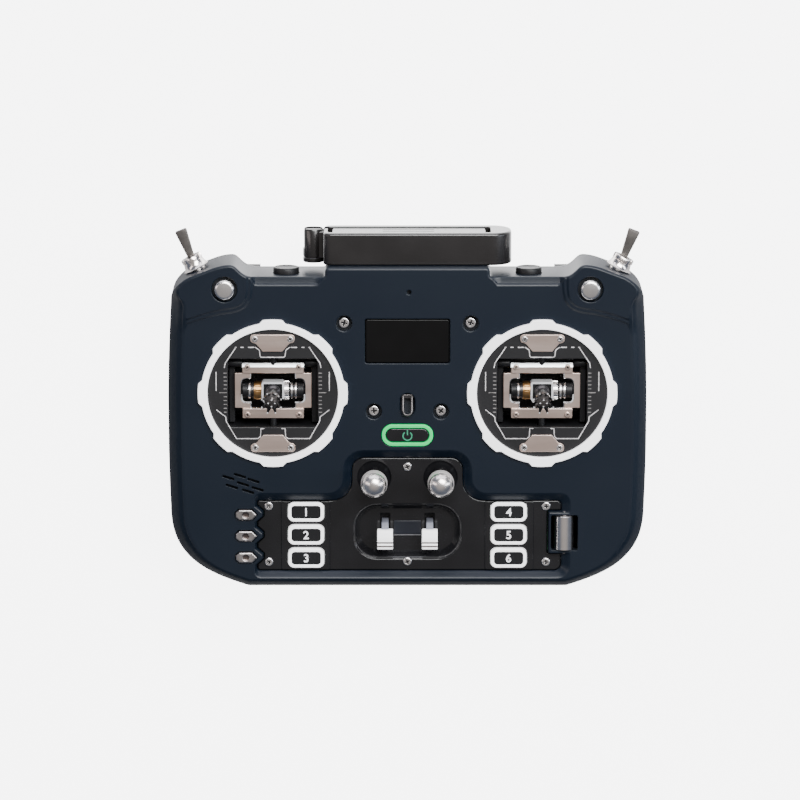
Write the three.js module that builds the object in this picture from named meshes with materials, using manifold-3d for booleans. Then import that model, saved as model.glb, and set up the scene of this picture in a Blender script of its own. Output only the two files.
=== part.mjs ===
// Handheld radio transmitter controller, lying on its back with the face up.
// Millimetres. X runs to the right of the face, Y towards the antenna edge, Z out of the face.
import * as THREE from 'three';
import { mergeVertices } from 'three/addons/utils/BufferGeometryUtils.js';
import Module from 'manifold-3d';

const wasm = await Module();
wasm.setup();

// ---- driving dimensions ----
const FACE_Z = 42;
const SPLIT_Z = 20;
const BACK_Z = 11;
const WALL = 2.5;
const BOTTOM_Y = -68.5;
const SHOULDER_Y = 57.6;
const BLOCK_Y = 61.3;
const CENTRE_Y = 3.3955;
const PAD_RISE = 1.4;
const GAP = 0.3;

const GIMBAL = { x: 53.3, y: 11, ring: 28.5, lobe: 29.7, bore: 25.9, pivotZ: 36.5 };
const WELL = { w: 35.5, h: 27.6 };
const YOKE = { w: 30.5, h: 22.3, innerW: 24.6, innerH: 13.6, z0: 35, z1: 38 };
const STICK_TOP = 62;

const PANEL = { left: -60, right: 61.5, low: -62, high: -33.1, top: -15.6, half: 22.3, z0: 36.5, z1: 39.5 };
const SCOOP = { y: -46, w: 41, h: 21.6, r: 8.5, floor: 35 };
const KNOB = { x: 13.2, y: -23.8, r: 5.3, top: 57 };
const LEVER = { x: 8.9, pivotY: -43.3, pivotZ: 31 };
const MODE_KEY = { x: 40.4, ys: [-37.7, -47.1, -56.6], w: 14.3, h: 7.8, r: 2.4 };
const MENU_KEY = { x: -64.2, ys: [-38.5, -47.2, -56], w: 8.5, h: 4.2 };
const ROLLER = { x: 62.5, y: -46, z: 39.9, r: 3.8, length: 13.9 };
const BOARD_Z = 28;

const WINDOW = { y: 31.9, w: 32.8, h: 17.1 };
const CASE_SCREWS = [[-25, 39], [25, 39], [-13.3, 3.5], [13.3, 3.5]];
const POWER = { y: -6.1, w: 20.4, h: 8.8, band: 1.45 };
const FACE_BUTTON = { x: 72.1, y: 52.9, r: 4.05 };
const SHOULDER_BUTTON = { x: 48, z: 31.5, r: 5.15, proud: 2.4 };
const REAR_SLIDER = { x: 61.4, w: 4.8 };
const TOGGLE = { x: 83.4, y: 58.9, z: 30, tilt: 27, lean: -6, bush: 3.4 };

const ANTENNA = { x0: -33.3, x1: 41.2, y0: BLOCK_Y, y1: 74.2, z0: 17, z1: 37 };
const HINGE = { x: -37.3, y: 70.2, z: 23, r: 4.25 };
const BLADE = { x0: -29.8, x1: 31, y0: 67, y1: 73.8, z0: 22.4, z1: 32.9 };

const CELL = { r: 9.15, length: 65, ys: [-47.5, -28], z: 12.2 };
const BAY = { x: 38, y0: -62, y1: -13.5, z: 0.6 };
const GRIP = { x: 66, y: -15, w: 38, h: 84, r: 16 };

// ---- materials ----
const paint = (color, roughness, metalness = 0) =>
  new THREE.MeshStandardMaterial({ color, roughness, metalness });
const NAVY = paint(0x26303e, 0.45);
const BLACK = paint(0x141416, 0.2);
const DARK = paint(0x1c1c1e, 0.5);
const WHITE = paint(0xf2f2f0, 0.4);
const STEEL = paint(0xc4b8ae, 0.3, 1);
const CHROME = paint(0xd8d4d0, 0.12, 1);
const GLOW = paint(0x35e08a, 0.4);
const BOARD_GREEN = paint(0x1d4a33, 0.6);
const CELL_BLUE = paint(0x2f5f8f, 0.5);

// ---- solids ----
function solid(geometry) {
  const bare = geometry.clone();
  bare.deleteAttribute('normal');
  bare.deleteAttribute('uv');
  const merged = mergeVertices(bare, 1e-4);
  const vertProperties = new Float32Array(merged.attributes.position.array);
  const triVerts = new Uint32Array(merged.index.array);
  return new wasm.Manifold(new wasm.Mesh({ numProp: 3, vertProperties, triVerts }));
}

function geometryOf(body) {
  const mesh = body.getMesh();
  const geometry = new THREE.BufferGeometry();
  geometry.setAttribute('position', new THREE.BufferAttribute(new Float32Array(mesh.vertProperties), 3));
  geometry.setIndex(new THREE.BufferAttribute(new Uint32Array(mesh.triVerts), 1));
  return geometry;
}

function join(first, ...rest) {
  return rest.reduce((all, next) => all.add(next), first);
}

function cut(first, ...rest) {
  return rest.reduce((all, next) => all.subtract(next), first);
}

// An outline raised from z0 to z1, with its rim cut back by edge at both ends and its walls set in by inset.
function plate(shape, z0, z1, { edge = 0, inset = 0, curveSegments = 3 } = {}) {
  const geometry = new THREE.ExtrudeGeometry(shape, {
    depth: z1 - z0 - 2 * edge,
    bevelEnabled: edge > 0,
    bevelThickness: edge,
    bevelSize: edge,
    bevelOffset: -edge - inset,
    bevelSegments: edge > 3 ? 3 : 1,
    curveSegments,
  });
  geometry.translate(0, 0, z0 + edge);
  return solid(geometry);
}

// A cutter whose outline is shape at z0 and widens by flare up to z1, then rises straight.
function flaredCutter(shape, z0, z1, flare) {
  const geometry = new THREE.ExtrudeGeometry(shape, {
    depth: 5,
    bevelEnabled: true,
    bevelThickness: z1 - z0,
    bevelSize: flare,
    bevelSegments: 1,
    curveSegments: 3,
  });
  geometry.translate(0, 0, z1);
  return solid(geometry);
}

function box(x0, x1, y0, y1, z0, z1) {
  const geometry = new THREE.BoxGeometry(x1 - x0, y1 - y0, z1 - z0);
  geometry.translate((x0 + x1) / 2, (y0 + y1) / 2, (z0 + z1) / 2);
  return solid(geometry);
}

function rod(axis, r, centre, from, to, segments = 12) {
  const geometry = new THREE.CylinderGeometry(r, r, to - from, segments);
  const [a, b] = centre;
  const middle = (from + to) / 2;
  if (axis === 'x') {
    geometry.rotateZ(Math.PI / 2);
    geometry.translate(middle, a, b);
  } else if (axis === 'y') {
    geometry.translate(a, middle, b);
  } else {
    geometry.rotateX(Math.PI / 2);
    geometry.translate(a, b, middle);
  }
  return solid(geometry);
}

// A turned piece: profile is [radius, height] pairs along +Z, standing at x, y.
function turned(profile, x, y, segments = 14) {
  const points = profile.map(([r, h]) => new THREE.Vector2(r, h));
  const geometry = new THREE.LatheGeometry(points, segments);
  geometry.rotateX(Math.PI / 2);
  geometry.translate(x, y, 0);
  return solid(geometry);
}

// A shape drawn in X and Z, extruded along Y.
function alongY(shape, y0, y1) {
  const geometry = new THREE.ExtrudeGeometry(shape, { depth: y1 - y0, bevelEnabled: false, curveSegments: 4 });
  geometry.rotateX(Math.PI / 2);
  geometry.translate(0, y1, 0);
  return solid(geometry);
}

// A shape drawn in Y and Z, extruded along X.
function alongX(shape, x0, x1) {
  const geometry = new THREE.ExtrudeGeometry(shape, { depth: x1 - x0, bevelEnabled: false, curveSegments: 4 });
  geometry.applyMatrix4(new THREE.Matrix4().set(0, 0, 1, x0, 1, 0, 0, 0, 0, 1, 0, 0, 0, 0, 0, 1));
  return solid(geometry);
}

// ---- outlines ----
function polygon(points) {
  return new THREE.Shape(points.map(([x, y]) => new THREE.Vector2(x, y)));
}

function roundedRect(x, y, w, h, r) {
  const [x0, x1, y0, y1] = [x - w / 2, x + w / 2, y - h / 2, y + h / 2];
  const shape = new THREE.Shape();
  shape.moveTo(x0 + r, y0);
  shape.lineTo(x1 - r, y0);
  shape.absarc(x1 - r, y0 + r, r, -Math.PI / 2, 0);
  shape.lineTo(x1, y1 - r);
  shape.absarc(x1 - r, y1 - r, r, 0, Math.PI / 2);
  shape.lineTo(x0 + r, y1);
  shape.absarc(x0 + r, y1 - r, r, Math.PI / 2, Math.PI);
  shape.lineTo(x0, y0 + r);
  shape.absarc(x0 + r, y0 + r, r, Math.PI, Math.PI * 1.5);
  return shape;
}

function bodyOutline() {
  const half = new THREE.Path();
  half.moveTo(0, BOTTOM_Y);
  half.lineTo(63.5, BOTTOM_Y);
  half.bezierCurveTo(86.5, -61.5, 94.3, -53.5, 94.4, -36);
  half.quadraticCurveTo(96.1, 8, 93.4, 49);
  half.quadraticCurveTo(92.6, 54.2, 85.8, 57.8);
  half.lineTo(77.1, 61.1);
  half.quadraticCurveTo(73, 62.6, 70, 62.6);
  half.bezierCurveTo(66.2, 62.6, 66.6, SHOULDER_Y, 59, SHOULDER_Y);
  half.lineTo(32.5, SHOULDER_Y);
  half.lineTo(32.5, BLOCK_Y);
  half.lineTo(0, BLOCK_Y);
  const right = half.getPoints(4).slice(1, -1);
  const left = right.map((p) => new THREE.Vector2(-p.x, p.y)).reverse();
  return new THREE.Shape([...right, ...left]);
}

// The end view of the body: the long sides of the face are bevelled.
function sideProfile(inset) {
  const top = FACE_Z + PAD_RISE + 1 - inset;
  return polygon([
    [-97 + inset, -5], [97 - inset, -5], [97 - inset, 34], [95.2 - inset, 37.5 - inset / 3],
    [92.6 - inset, 40.5 - inset / 3], [88.6 - inset, top], [-88.6 + inset, top],
    [-92.6 + inset, 40.5 - inset / 3], [-95.2 + inset, 37.5 - inset / 3], [-97 + inset, 34],
  ]);
}

// The side view of the body: the near edge of the face is bevelled.
function nearProfile(inset) {
  const top = FACE_Z + PAD_RISE + 1 - inset;
  return polygon([
    [-70 + inset, -5], [90, -5], [90, top], [-63.5 + inset, top], [-64.4 + inset, 42 - inset],
    [-67 + inset, 40.5 - inset], [-68.6 + inset, 37.5 - inset], [-70 + inset, 34],
  ]);
}

// The raised pad round the face button in one top corner.
function padOutline(side) {
  const shape = new THREE.Shape();
  shape.moveTo(61.6 * side, 70);
  shape.lineTo(62.3 * side, 52.1);
  shape.bezierCurveTo(63 * side, 46, 66 * side, 44.6, 72 * side, 44);
  shape.quadraticCurveTo(82 * side, 42.6, 97 * side, 35.6);
  shape.lineTo(97 * side, 70);
  return shape;
}

// The lower panel: a wide band with a block above its middle.
function panelOutline() {
  const { left, right, low, high, top, half } = PANEL;
  const shape = new THREE.Shape();
  shape.moveTo(left + 2, low);
  shape.lineTo(right - 3, low);
  shape.quadraticCurveTo(right, low, right, low + 3);
  shape.lineTo(right, high - 2);
  shape.quadraticCurveTo(right, high, right - 2, high);
  shape.lineTo(half + 9, high);
  shape.quadraticCurveTo(half, high, half, high + 8);
  shape.lineTo(half, top - 5);
  shape.quadraticCurveTo(half, top, half - 5, top);
  shape.lineTo(-half + 5, top);
  shape.quadraticCurveTo(-half, top, -half, top - 5);
  shape.lineTo(-half, high + 8);
  shape.quadraticCurveTo(-half, high, -half - 9, high);
  shape.lineTo(left + 2, high);
  shape.lineTo(left, high - 2);
  shape.lineTo(left, low + 2);
  return shape;
}

// Teeth of the face that reach into the panel between the menu keys and round the roller.
function panelKeeps(gap = 0) {
  const keeps = MENU_KEY.ys.map((y) => {
    const x = PANEL.left + gap;
    const tooth = polygon([[x - 9, y - 3.6 - gap], [x, y - 3.6 - gap], [x + 2.6, y - 1], [x + 2.6, y + 1],
      [x, y + 3.6 + gap], [x - 9, y + 3.6 + gap]]);
    return plate(tooth, PANEL.z0 - 1, FACE_Z);
  });
  const frame = 8.6 + gap;
  keeps.push(box(56 - gap, 72, ROLLER.y - frame, ROLLER.y + frame, PANEL.z0 - 1, FACE_Z));
  return keeps;
}

function ringOutline() {
  const shape = new THREE.Shape();
  const { ring, lobe, bore } = GIMBAL;
  const points = [];
  for (let i = 0; i < 8; i += 1) {
    const middle = (i * Math.PI) / 4;
    for (const [offset, r] of [[-0.2, ring], [-0.165, lobe], [0, lobe], [0.165, lobe], [0.2, ring],
      [0.393, ring]]) {
      points.push(new THREE.Vector2(r * Math.cos(middle + offset), r * Math.sin(middle + offset)));
    }
  }
  shape.setFromPoints(points);
  const hole = new THREE.Path();
  hole.absarc(0, 0, bore, 0, Math.PI * 2);
  shape.holes.push(hole);
  return shape;
}

function hexagonKey(y, clearance) {
  const w = MENU_KEY.w / 2 + clearance;
  const h = MENU_KEY.h / 2 + clearance;
  const { x } = MENU_KEY;
  return polygon([[x - w, y - h + 1], [x - w + 1, y - h], [x + w - 1.9, y - h], [x + w, y], [x + w - 1.9, y + h],
    [x - w + 1, y + h], [x - w, y + h - 1]]);
}

// ---- assembly ----
const part = new THREE.Group();
part.position.y = -CENTRE_Y;

function add(name, body, material, parent = part) {
  const mesh = new THREE.Mesh(body.isBufferGeometry ? body : geometryOf(body), material);
  mesh.name = name;
  parent.add(mesh);
  return mesh;
}

const SIDES = [['left', -1], ['right', 1]];

function toggleGroup(side) {
  const group = new THREE.Group();
  group.position.set(TOGGLE.x * side, TOGGLE.y, TOGGLE.z);
  group.rotation.z = -THREE.MathUtils.degToRad(TOGGLE.tilt) * side;
  return group;
}

function toggleBore(side) {
  const bore = new THREE.CylinderGeometry(TOGGLE.bush + GAP, TOGGLE.bush + GAP, 14, 14);
  const group = toggleGroup(side);
  group.updateMatrixWorld();
  return solid(bore.applyMatrix4(group.matrixWorld));
}

function speakerSlots() {
  const slots = [];
  const rows = [[-71.2, -23.4], [-69.8, -27], [-66.6, -22.6], [-65.4, -26], [-63.4, -29], [-61.2, -24.6],
    [-59.6, -28]];
  for (const [x, y] of rows) {
    const slot = new THREE.BoxGeometry(5.4, 1.1, 8);
    slot.rotateZ(-0.3);
    slot.translate(x, y, FACE_Z);
    slots.push(solid(slot));
  }
  return slots;
}

function frontShell() {
  const outline = bodyOutline();
  const slab = plate(outline, SPLIT_Z - 10, FACE_Z, { edge: 1 });
  const tall = plate(outline, SPLIT_Z - 10, FACE_Z + PAD_RISE, { edge: 1 });
  const pads = SIDES.map(([, side]) => tall.intersect(plate(padOutline(side), FACE_Z - 4, FACE_Z + 5)));
  let shell = join(slab, ...pads).intersect(alongY(sideProfile(0), -80, 90)).intersect(alongX(nearProfile(0), -99, 99));
  shell = cut(shell, box(-99, 99, -90, 90, 0, SPLIT_Z));
  const cavity = plate(outline, 5, FACE_Z - WALL, { edge: 0.5, inset: WALL })
    .intersect(alongY(sideProfile(WALL), -80, 90)).intersect(alongX(nearProfile(WALL), -99, 99));
  const bosses = CASE_SCREWS.map((at) => rod('z', 4.2, at, 33, FACE_Z - 1));
  shell = join(cut(shell, cavity), ...bosses);

  const pocket = cut(flaredCutter(panelOutline(), PANEL.z1, FACE_Z, 3), ...panelKeeps());
  const through = cut(plate(panelOutline(), 30, FACE_Z, { edge: 0.01, inset: -GAP }), ...panelKeeps());
  const cuts = [pocket, through];
  for (const [, side] of SIDES) {
    cuts.push(rod('z', GIMBAL.bore + 0.1, [GIMBAL.x * side, GIMBAL.y], 30, 50, 28));
    cuts.push(rod('z', 5, [FACE_BUTTON.x * side, FACE_BUTTON.y], FACE_Z - 1.4, 50));
    cuts.push(rod('z', 2.4, [FACE_BUTTON.x * side, FACE_BUTTON.y], 30, 50));
    cuts.push(rod('y', SHOULDER_BUTTON.r + GAP, [SHOULDER_BUTTON.x * side, SHOULDER_BUTTON.z], 50, 65, 14));
    cuts.push(toggleBore(side));
  }
  cuts.push(plate(roundedRect(0, WINDOW.y, WINDOW.w + 0.6, WINDOW.h + 0.6, 0.8), 30, 50));
  for (const at of CASE_SCREWS) {
    cuts.push(rod('z', 3.15, at, FACE_Z - 3.2, 50), rod('z', 1.6, at, 30, 50, 8));
  }
  const { y, w, h } = POWER;
  cuts.push(plate(roundedRect(0, y, w + 0.4, h + 0.4, (h + 0.4) / 2), FACE_Z - 1.4, 50));
  cuts.push(plate(roundedRect(0, y, w - 2, h - 2, (h - 2) / 2), 30, 50));
  cuts.push(plate(roundedRect(0, 6, 6.4, 9.4, 3), FACE_Z - 1.6, 50));
  cuts.push(rod('z', 1.1, [0.6, 51.5], 30, 50, 8));
  cuts.push(box(ROLLER.x - 5.4, ROLLER.x + 5.4, ROLLER.y - 7.3, ROLLER.y + 7.3, 30, 50));
  cuts.push(box(ROLLER.x - 1.3, ROLLER.x + 1.3, ROLLER.y - 9, ROLLER.y + 9, 30, ROLLER.z + 1.3));
  for (const keyY of MENU_KEY.ys) cuts.push(plate(hexagonKey(keyY, GAP), 30, 50));
  return cut(shell, ...cuts, ...speakerSlots());
}

// The back of the body narrows towards BACK_Z on all four sides.
function backProfiles(inset) {
  const z = BACK_Z + inset;
  const ends = polygon([[-97 + inset, 60], [-97 + inset, SPLIT_Z], [-94 + inset, 15 + inset / 2], [-87 + inset, z],
    [87 - inset, z], [94 - inset, 15 + inset / 2], [97 - inset, SPLIT_Z], [97 - inset, 60]]);
  const sides = polygon([[-70 + inset, 60], [-70 + inset, SPLIT_Z], [-67.5 + inset, 15 + inset / 2],
    [-61 + inset, z], [50 - inset, z], [57 - inset, 15 + inset / 2], [63 - inset, SPLIT_Z], [63 - inset, 60]]);
  return [alongY(ends, -80, 90), alongX(sides, -99, 99)];
}

function rearShell() {
  const outline = bodyOutline();
  const [ends, sides] = backProfiles(0);
  let shell = plate(outline, 0, SPLIT_Z + 10, { edge: 1 }).intersect(ends).intersect(sides);
  const bulges = SIDES.map(([, side]) =>
    plate(roundedRect(GRIP.x * side, GRIP.y, GRIP.w, GRIP.h, GRIP.r), 0, 30, { edge: 7 }));
  const bay = plate(roundedRect(0, (BAY.y0 + BAY.y1) / 2, BAY.x * 2, BAY.y1 - BAY.y0, 4), BAY.z, 24, { edge: 1.5 });
  shell = cut(join(shell, ...bulges, bay), box(-99, 99, -90, 90, SPLIT_Z, 60));
  const [endsInside, sidesInside] = backProfiles(WALL);
  const cavity = plate(outline, 0, 40, { edge: 0.5, inset: WALL }).intersect(endsInside).intersect(sidesInside);
  const door = box(-36.3, 36.3, -70, -15.7, -1, 2.9);
  const pocket = box(-33.8, 33.8, -58, -17.6, 1, 20);
  const slots = SIDES.map(([, side]) => box(side * REAR_SLIDER.x - 2.8, side * REAR_SLIDER.x + 2.8, 33, 50.6, 5, 20));
  const port = box(-5, 5, -72, -60, 14.4, 18.4);
  return cut(shell, cavity, door, pocket, ...slots, port);
}

function addCase() {
  add('front_shell', frontShell(), NAVY);
  add('rear_shell', rearShell(), NAVY);
  add('battery_door', box(-36, 36, -62, -16, 0.7, 2.6), NAVY);
  CELL.ys.forEach((y, i) => {
    add(`battery_cell_${i + 1}`, rod('x', CELL.r, [y, CELL.z], -CELL.length / 2, CELL.length / 2, 18), CELL_BLUE);
  });
  add('main_board', box(-28, 28, -8, 52, 26, 27.6), BOARD_GREEN);
  add('display_module', box(-19, 19, 21, 43, 35, 39), DARK);
  add('display_window', plate(roundedRect(0, WINDOW.y, WINDOW.w, WINDOW.h, 0.6), 39.4, FACE_Z - 0.3), BLACK);
  add('rf_module', box(-14, 14, 34, 51, 20, 24), STEEL);
  add('speaker', turned([[0, 33], [7, 33], [8, 36], [8, 38.5], [0, 38.5]], -67, -24.3), DARK);
  CASE_SCREWS.forEach(([x, y], i) => {
    const profile = [[0, 32], [1.4, 32], [1.4, 38.9], [2.3, 38.9], [2.3, 40], [1.4, 40.9], [0, 40.9]];
    add(`case_screw_${i + 1}`, turned(profile, x, y, 8), STEEL);
  });
}

function strapHook() {
  const path = new THREE.CatmullRomCurve3([
    [-1.75, 9.7, 41.1], [-1.75, 6.5, 42.2], [-1.75, 3.6, 43.2], [-1.1, 2.2, 43.6],
    [1.1, 2.2, 43.6], [1.75, 3.6, 43.2], [1.75, 6.5, 42.2], [1.75, 9.7, 41.1],
  ].map((p) => new THREE.Vector3(...p)));
  const section = new THREE.Shape();
  section.absarc(0, 0, 0.55, 0, Math.PI * 2);
  return solid(new THREE.ExtrudeGeometry(section, { steps: 16, extrudePath: path, curveSegments: 3 }));
}

function addPanel() {
  const shape = panelOutline();
  const tub = plate(roundedRect(0, SCOOP.y, SCOOP.w + 3, SCOOP.h + 3, SCOOP.r + 1.5), SCOOP.floor - 1.5, PANEL.z0 + 1);
  const scoop = plate(roundedRect(0, SCOOP.y, SCOOP.w, SCOOP.h, SCOOP.r), SCOOP.floor, 50);
  const cuts = [scoop];
  for (const [, side] of SIDES) {
    cuts.push(rod('z', 3.6, [KNOB.x * side, KNOB.y], 30, 50));
    cuts.push(box(LEVER.x * side - 2, LEVER.x * side + 2, -47.1, -39.5, 30, 50));
    for (const y of MODE_KEY.ys) {
      const hole = roundedRect(MODE_KEY.x * side, y, MODE_KEY.w + 0.6, MODE_KEY.h + 0.6, MODE_KEY.r + 0.3);
      cuts.push(plate(hole, 30, 50));
    }
  }
  const panel = cut(join(plate(shape, PANEL.z0, PANEL.z1), tub), ...cuts);
  add('control_panel', cut(panel, ...panelKeeps(GAP)), BLACK);
  add('panel_board', box(-68, 57, -61, -34.5, BOARD_Z, BOARD_Z + 1.6), BOARD_GREEN);
  const { y, w, h, band } = POWER;
  const inner = plate(roundedRect(0, y, w - 2 * band, h - 2 * band, h / 2 - band), 30, 50);
  add('power_ring', cut(plate(roundedRect(0, y, w, h, h / 2), FACE_Z - 1.4, FACE_Z + 0.5), inner), GLOW);
  const key = roundedRect(0, y, w - 2 * band - 0.5, h - 2 * band - 0.5, h / 2 - band - 0.25);
  add('power_key', plate(key, 37, FACE_Z + 0.3), BLACK);
  add('strap_hook', strapHook(), CHROME);
}

function addMenuKeys() {
  MENU_KEY.ys.forEach((y, i) => {
    const key = plate(hexagonKey(y, 0), 36, FACE_Z + 1.2, { edge: 0.5 });
    add(`menu_key_${i + 1}`, key, STEEL);
  });
}

function addModeKeys() {
  let number = 1;
  for (const [, side] of SIDES) {
    for (const y of MODE_KEY.ys) {
      const shape = roundedRect(MODE_KEY.x * side, y, MODE_KEY.w, MODE_KEY.h, MODE_KEY.r);
      add(`mode_key_${number}`, plate(shape, 35.5, PANEL.z1 + 1.6), WHITE);
      number += 1;
    }
  }
}

function addRoller() {
  const { x, y, z, r, length } = ROLLER;
  const barrel = rod('y', r, [x, z], y - length / 2, y + length / 2, 18);
  const axle = rod('y', 1, [x, z], y - 8.7, y + 8.7, 8);
  add('roller', barrel.add(axle), CHROME);
}

function addKnob(name, side) {
  const profile = [[0, 33], [1.5, 33], [3, 36], [3, 40.2], [4.3, 40.2], [4.3, 48.6], [5.3, 49.2], [5.3, 54],
    [4.5, 56], [2.6, 56.8], [0, 57]];
  add(`${name}_knob`, turned(profile, KNOB.x * side, KNOB.y), STEEL);
  const pot = rod('z', 5.2, [KNOB.x * side, KNOB.y], 29, 36.2).subtract(rod('z', 3.2, [KNOB.x * side, KNOB.y], 32, 40));
  add(`${name}_potentiometer`, pot, DARK);
}

function addLeverSwitch(name, side) {
  const cap = polygon([[-51.6, 40.8], [-51, 40.2], [-44, 40.2], [-43.4, 40.8], [-43.4, 43.6], [-44, 44.3],
    [-47.6, 44.7], [-51, 44.3], [-51.6, 43.6]]);
  const neck = polygon([[-45, 31], [-41.6, 31], [-41.2, 40.8], [-45.4, 40.8]]);
  const x = LEVER.x * side;
  const lever = alongX(cap, x - 3.2, x + 3.2).add(alongX(neck, x - 1.6, x + 1.6));
  add(`${name}_lever`, lever, WHITE);
  const base = box(x - 4, x + 4, -49.5, -37.1, BOARD_Z + 1.6, 33.2);
  const slot = box(x - 2, x + 2, -47.1, -39.5, BOARD_Z + 2.4, 40);
  add(`${name}_lever_switch`, base.subtract(slot), DARK);
}

function addFaceButton(name, side) {
  const profile = [[0, 35], [2, 35], [2, 42], [4.05, 42], [4.05, 44], [3.3, 45.2], [0, 45.4]];
  add(`${name}_face_button`, turned(profile, FACE_BUTTON.x * side, FACE_BUTTON.y), CHROME);
}

function addShoulderButton(name, side) {
  const at = [SHOULDER_BUTTON.x * side, SHOULDER_BUTTON.z];
  const face = SHOULDER_Y + SHOULDER_BUTTON.proud;
  const disc = rod('y', SHOULDER_BUTTON.r, at, SHOULDER_Y - 1.5, face, 16);
  add(`${name}_shoulder_button`, disc.add(rod('y', 2, at, SHOULDER_Y - 6, SHOULDER_Y, 8)), DARK);
}

function addRearSlider(name, side) {
  const head = polygon([[46, 9.6], [46, 5.2], [47, 4.4], [55.4, 4.4], [56.3, 5.2], [56.3, 9.6]]);
  const neck = polygon([[45.6, 16], [45.6, 8], [49.8, 8], [49.8, 16]]);
  const x = REAR_SLIDER.x * side;
  const half = REAR_SLIDER.w / 2;
  add(`${name}_rear_slider`, alongX(head, x - half, x + half).add(alongX(neck, x - 1.8, x + 1.8)), DARK);
}

function addToggle(name, side) {
  const group = toggleGroup(side);
  part.add(group);
  const bushing = rod('y', TOGGLE.bush, [0, 0], -5, 5.5, 12);
  const bore = rod('y', 2.3, [0, 0], 1.5, 7, 10);
  const body = box(-4.2, 4.2, -13, -4.2, -4.2, 4.2);
  add(`${name}_toggle_body`, bushing.add(body).subtract(bore), CHROME, group);
  const lever = new THREE.Group();
  lever.position.y = 3.6;
  lever.rotation.z = -THREE.MathUtils.degToRad(TOGGLE.lean) * side;
  group.add(lever);
  const flare = polygon([[-1, 2], [1, 2], [2.4, 13.2], [-2.4, 13.2]]);
  const blade = plate(flare, -1.2, 1.2);
  add(`${name}_toggle_lever`, blade.add(rod('y', 1.15, [0, 0], -1, 3.4, 8)), STEEL, lever);
}

function addGimbal(name, side) {
  const group = new THREE.Group();
  group.position.set(GIMBAL.x * side, GIMBAL.y, 0);
  part.add(group);
  const ring = new THREE.ExtrudeGeometry(ringOutline(), { depth: 1.8, bevelEnabled: false, curveSegments: 14 });
  ring.translate(0, 0, FACE_Z);
  add(`${name}_gimbal_ring`, solid(ring), WHITE, group);
  const well = plate(roundedRect(0, 0, WELL.w, WELL.h, 0.8), 0, 60, { curveSegments: 2 });
  const disc = rod('z', GIMBAL.bore - 0.2, [0, 0], FACE_Z - 2.5, FACE_Z + 0.2, 28);
  add(`${name}_gimbal_plate`, disc.subtract(well), BLACK, group);
  const { pivotZ } = GIMBAL;
  const frame = cut(box(-22.5, 22.5, -18.5, 18.5, 15.5, FACE_Z - 2.6), box(-18, 18, -14, 14, 17.5, 50),
    rod('y', 1.8, [0, pivotZ], -19, 19, 10));
  add(`${name}_gimbal_frame`, frame, DARK, group);

  const bars = cut(box(-YOKE.w / 2, YOKE.w / 2, -9.2, 9.2, YOKE.z0, YOKE.z1).add(
    box(-12.2, 12.2, -YOKE.h / 2, YOKE.h / 2, YOKE.z0, YOKE.z1)),
  box(-YOKE.innerW / 2, YOKE.innerW / 2, -YOKE.innerH / 2, YOKE.innerH / 2, 0, 60),
  rod('x', 1.45, [0, pivotZ], -16, 16, 8));
  const pins = [[-17.5, -10], [10, 17.5]].map(([a, b]) => rod('y', 1.4, [0, pivotZ], a, b, 8));
  add(`${name}_gimbal_yoke`, join(bars, ...pins), STEEL, group);

  const block = box(-3.9, 3.9, -4, 4, pivotZ - 4, pivotZ + 3.4);
  const bearings = rod('x', 3.1, [0, pivotZ], -9.6, 9.6, 12);
  const trunnion = rod('x', 1.1, [0, pivotZ], -14.8, 14.8, 8);
  const shaft = turned([[0, pivotZ], [2.1, pivotZ], [2.1, 56], [3.4, 57.5], [3.4, 60.5], [2.4, STICK_TOP],
    [0, STICK_TOP]], 0, 0, 10);
  add(`${name}_stick`, join(block, bearings, trunnion, shaft), CHROME, group);
}

function addAntenna() {
  const { x0, x1, y0, y1, z0, z1 } = ANTENNA;
  const section = new THREE.Shape();
  section.moveTo(x0 + 3, z0);
  section.lineTo(x1 - 8, z0);
  section.absarc(x1 - 8, z0 + 8, 8, -Math.PI / 2, 0);
  section.lineTo(x1, z1 - 8);
  section.absarc(x1 - 8, z1 - 8, 8, 0, Math.PI / 2);
  section.lineTo(x0 + 3, z1);
  section.quadraticCurveTo(x0, z1, x0, z1 - 3);
  section.lineTo(x0, z0 + 3);
  section.quadraticCurveTo(x0, z0, x0 + 3, z0);
  const { x, y, z, r } = HINGE;
  const barrel = rod('y', r, [x, z], 60.6, y1, 16);
  const neck = box(x, x0 + 2, 62.4, 73.2, z - 3.4, z + 3.4);
  const recess = box(-31.5, 32.9, 66, 80, BLADE.z0 - 1.2, BLADE.z1 + 1.2);
  const fork = box(x - 6, -31, 66, 80, z - 2, z + 2);
  const cradle = cut(join(alongY(section, y0, y1), barrel, neck), recess, fork, rod('z', 1.3, [x, y], 15, 31, 10));
  add('antenna_cradle', cradle, BLACK);
  const knuckle = rod('z', 3.2, [x, y], z - 1.7, z + 1.7, 12);
  const tongue = box(x, BLADE.x0 + 1, y - 2, y + 2, z - 1.7, z + 1.7);
  const blade = box(BLADE.x0, BLADE.x1, BLADE.y0, BLADE.y1, BLADE.z0, BLADE.z1);
  add('antenna_blade', cut(join(blade, tongue, knuckle), rod('z', 1.3, [x, y], 15, 31, 10)), BLACK);
  add('antenna_pin', rod('z', 1.1, [x, y], 18.9, 27.1, 10), STEEL);
}

addCase();
addPanel();
addMenuKeys();
addModeKeys();
addRoller();
for (const [name, side] of SIDES) {
  addGimbal(name, side);
  addKnob(name, side);
  addLeverSwitch(name, side);
  addFaceButton(name, side);
  addShoulderButton(name, side);
  addRearSlider(name, side);
  addToggle(name, side);
}
addAntenna();

export default part;
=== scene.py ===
"""Radio transmitter controller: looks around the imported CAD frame.

Shapes are worked out in face millimetres: X right, Y towards the antenna edge, Z out of the face.
Y is 0 a little below the strap hook. piece() turns them into metres in the row frame.
"""

import math

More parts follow.
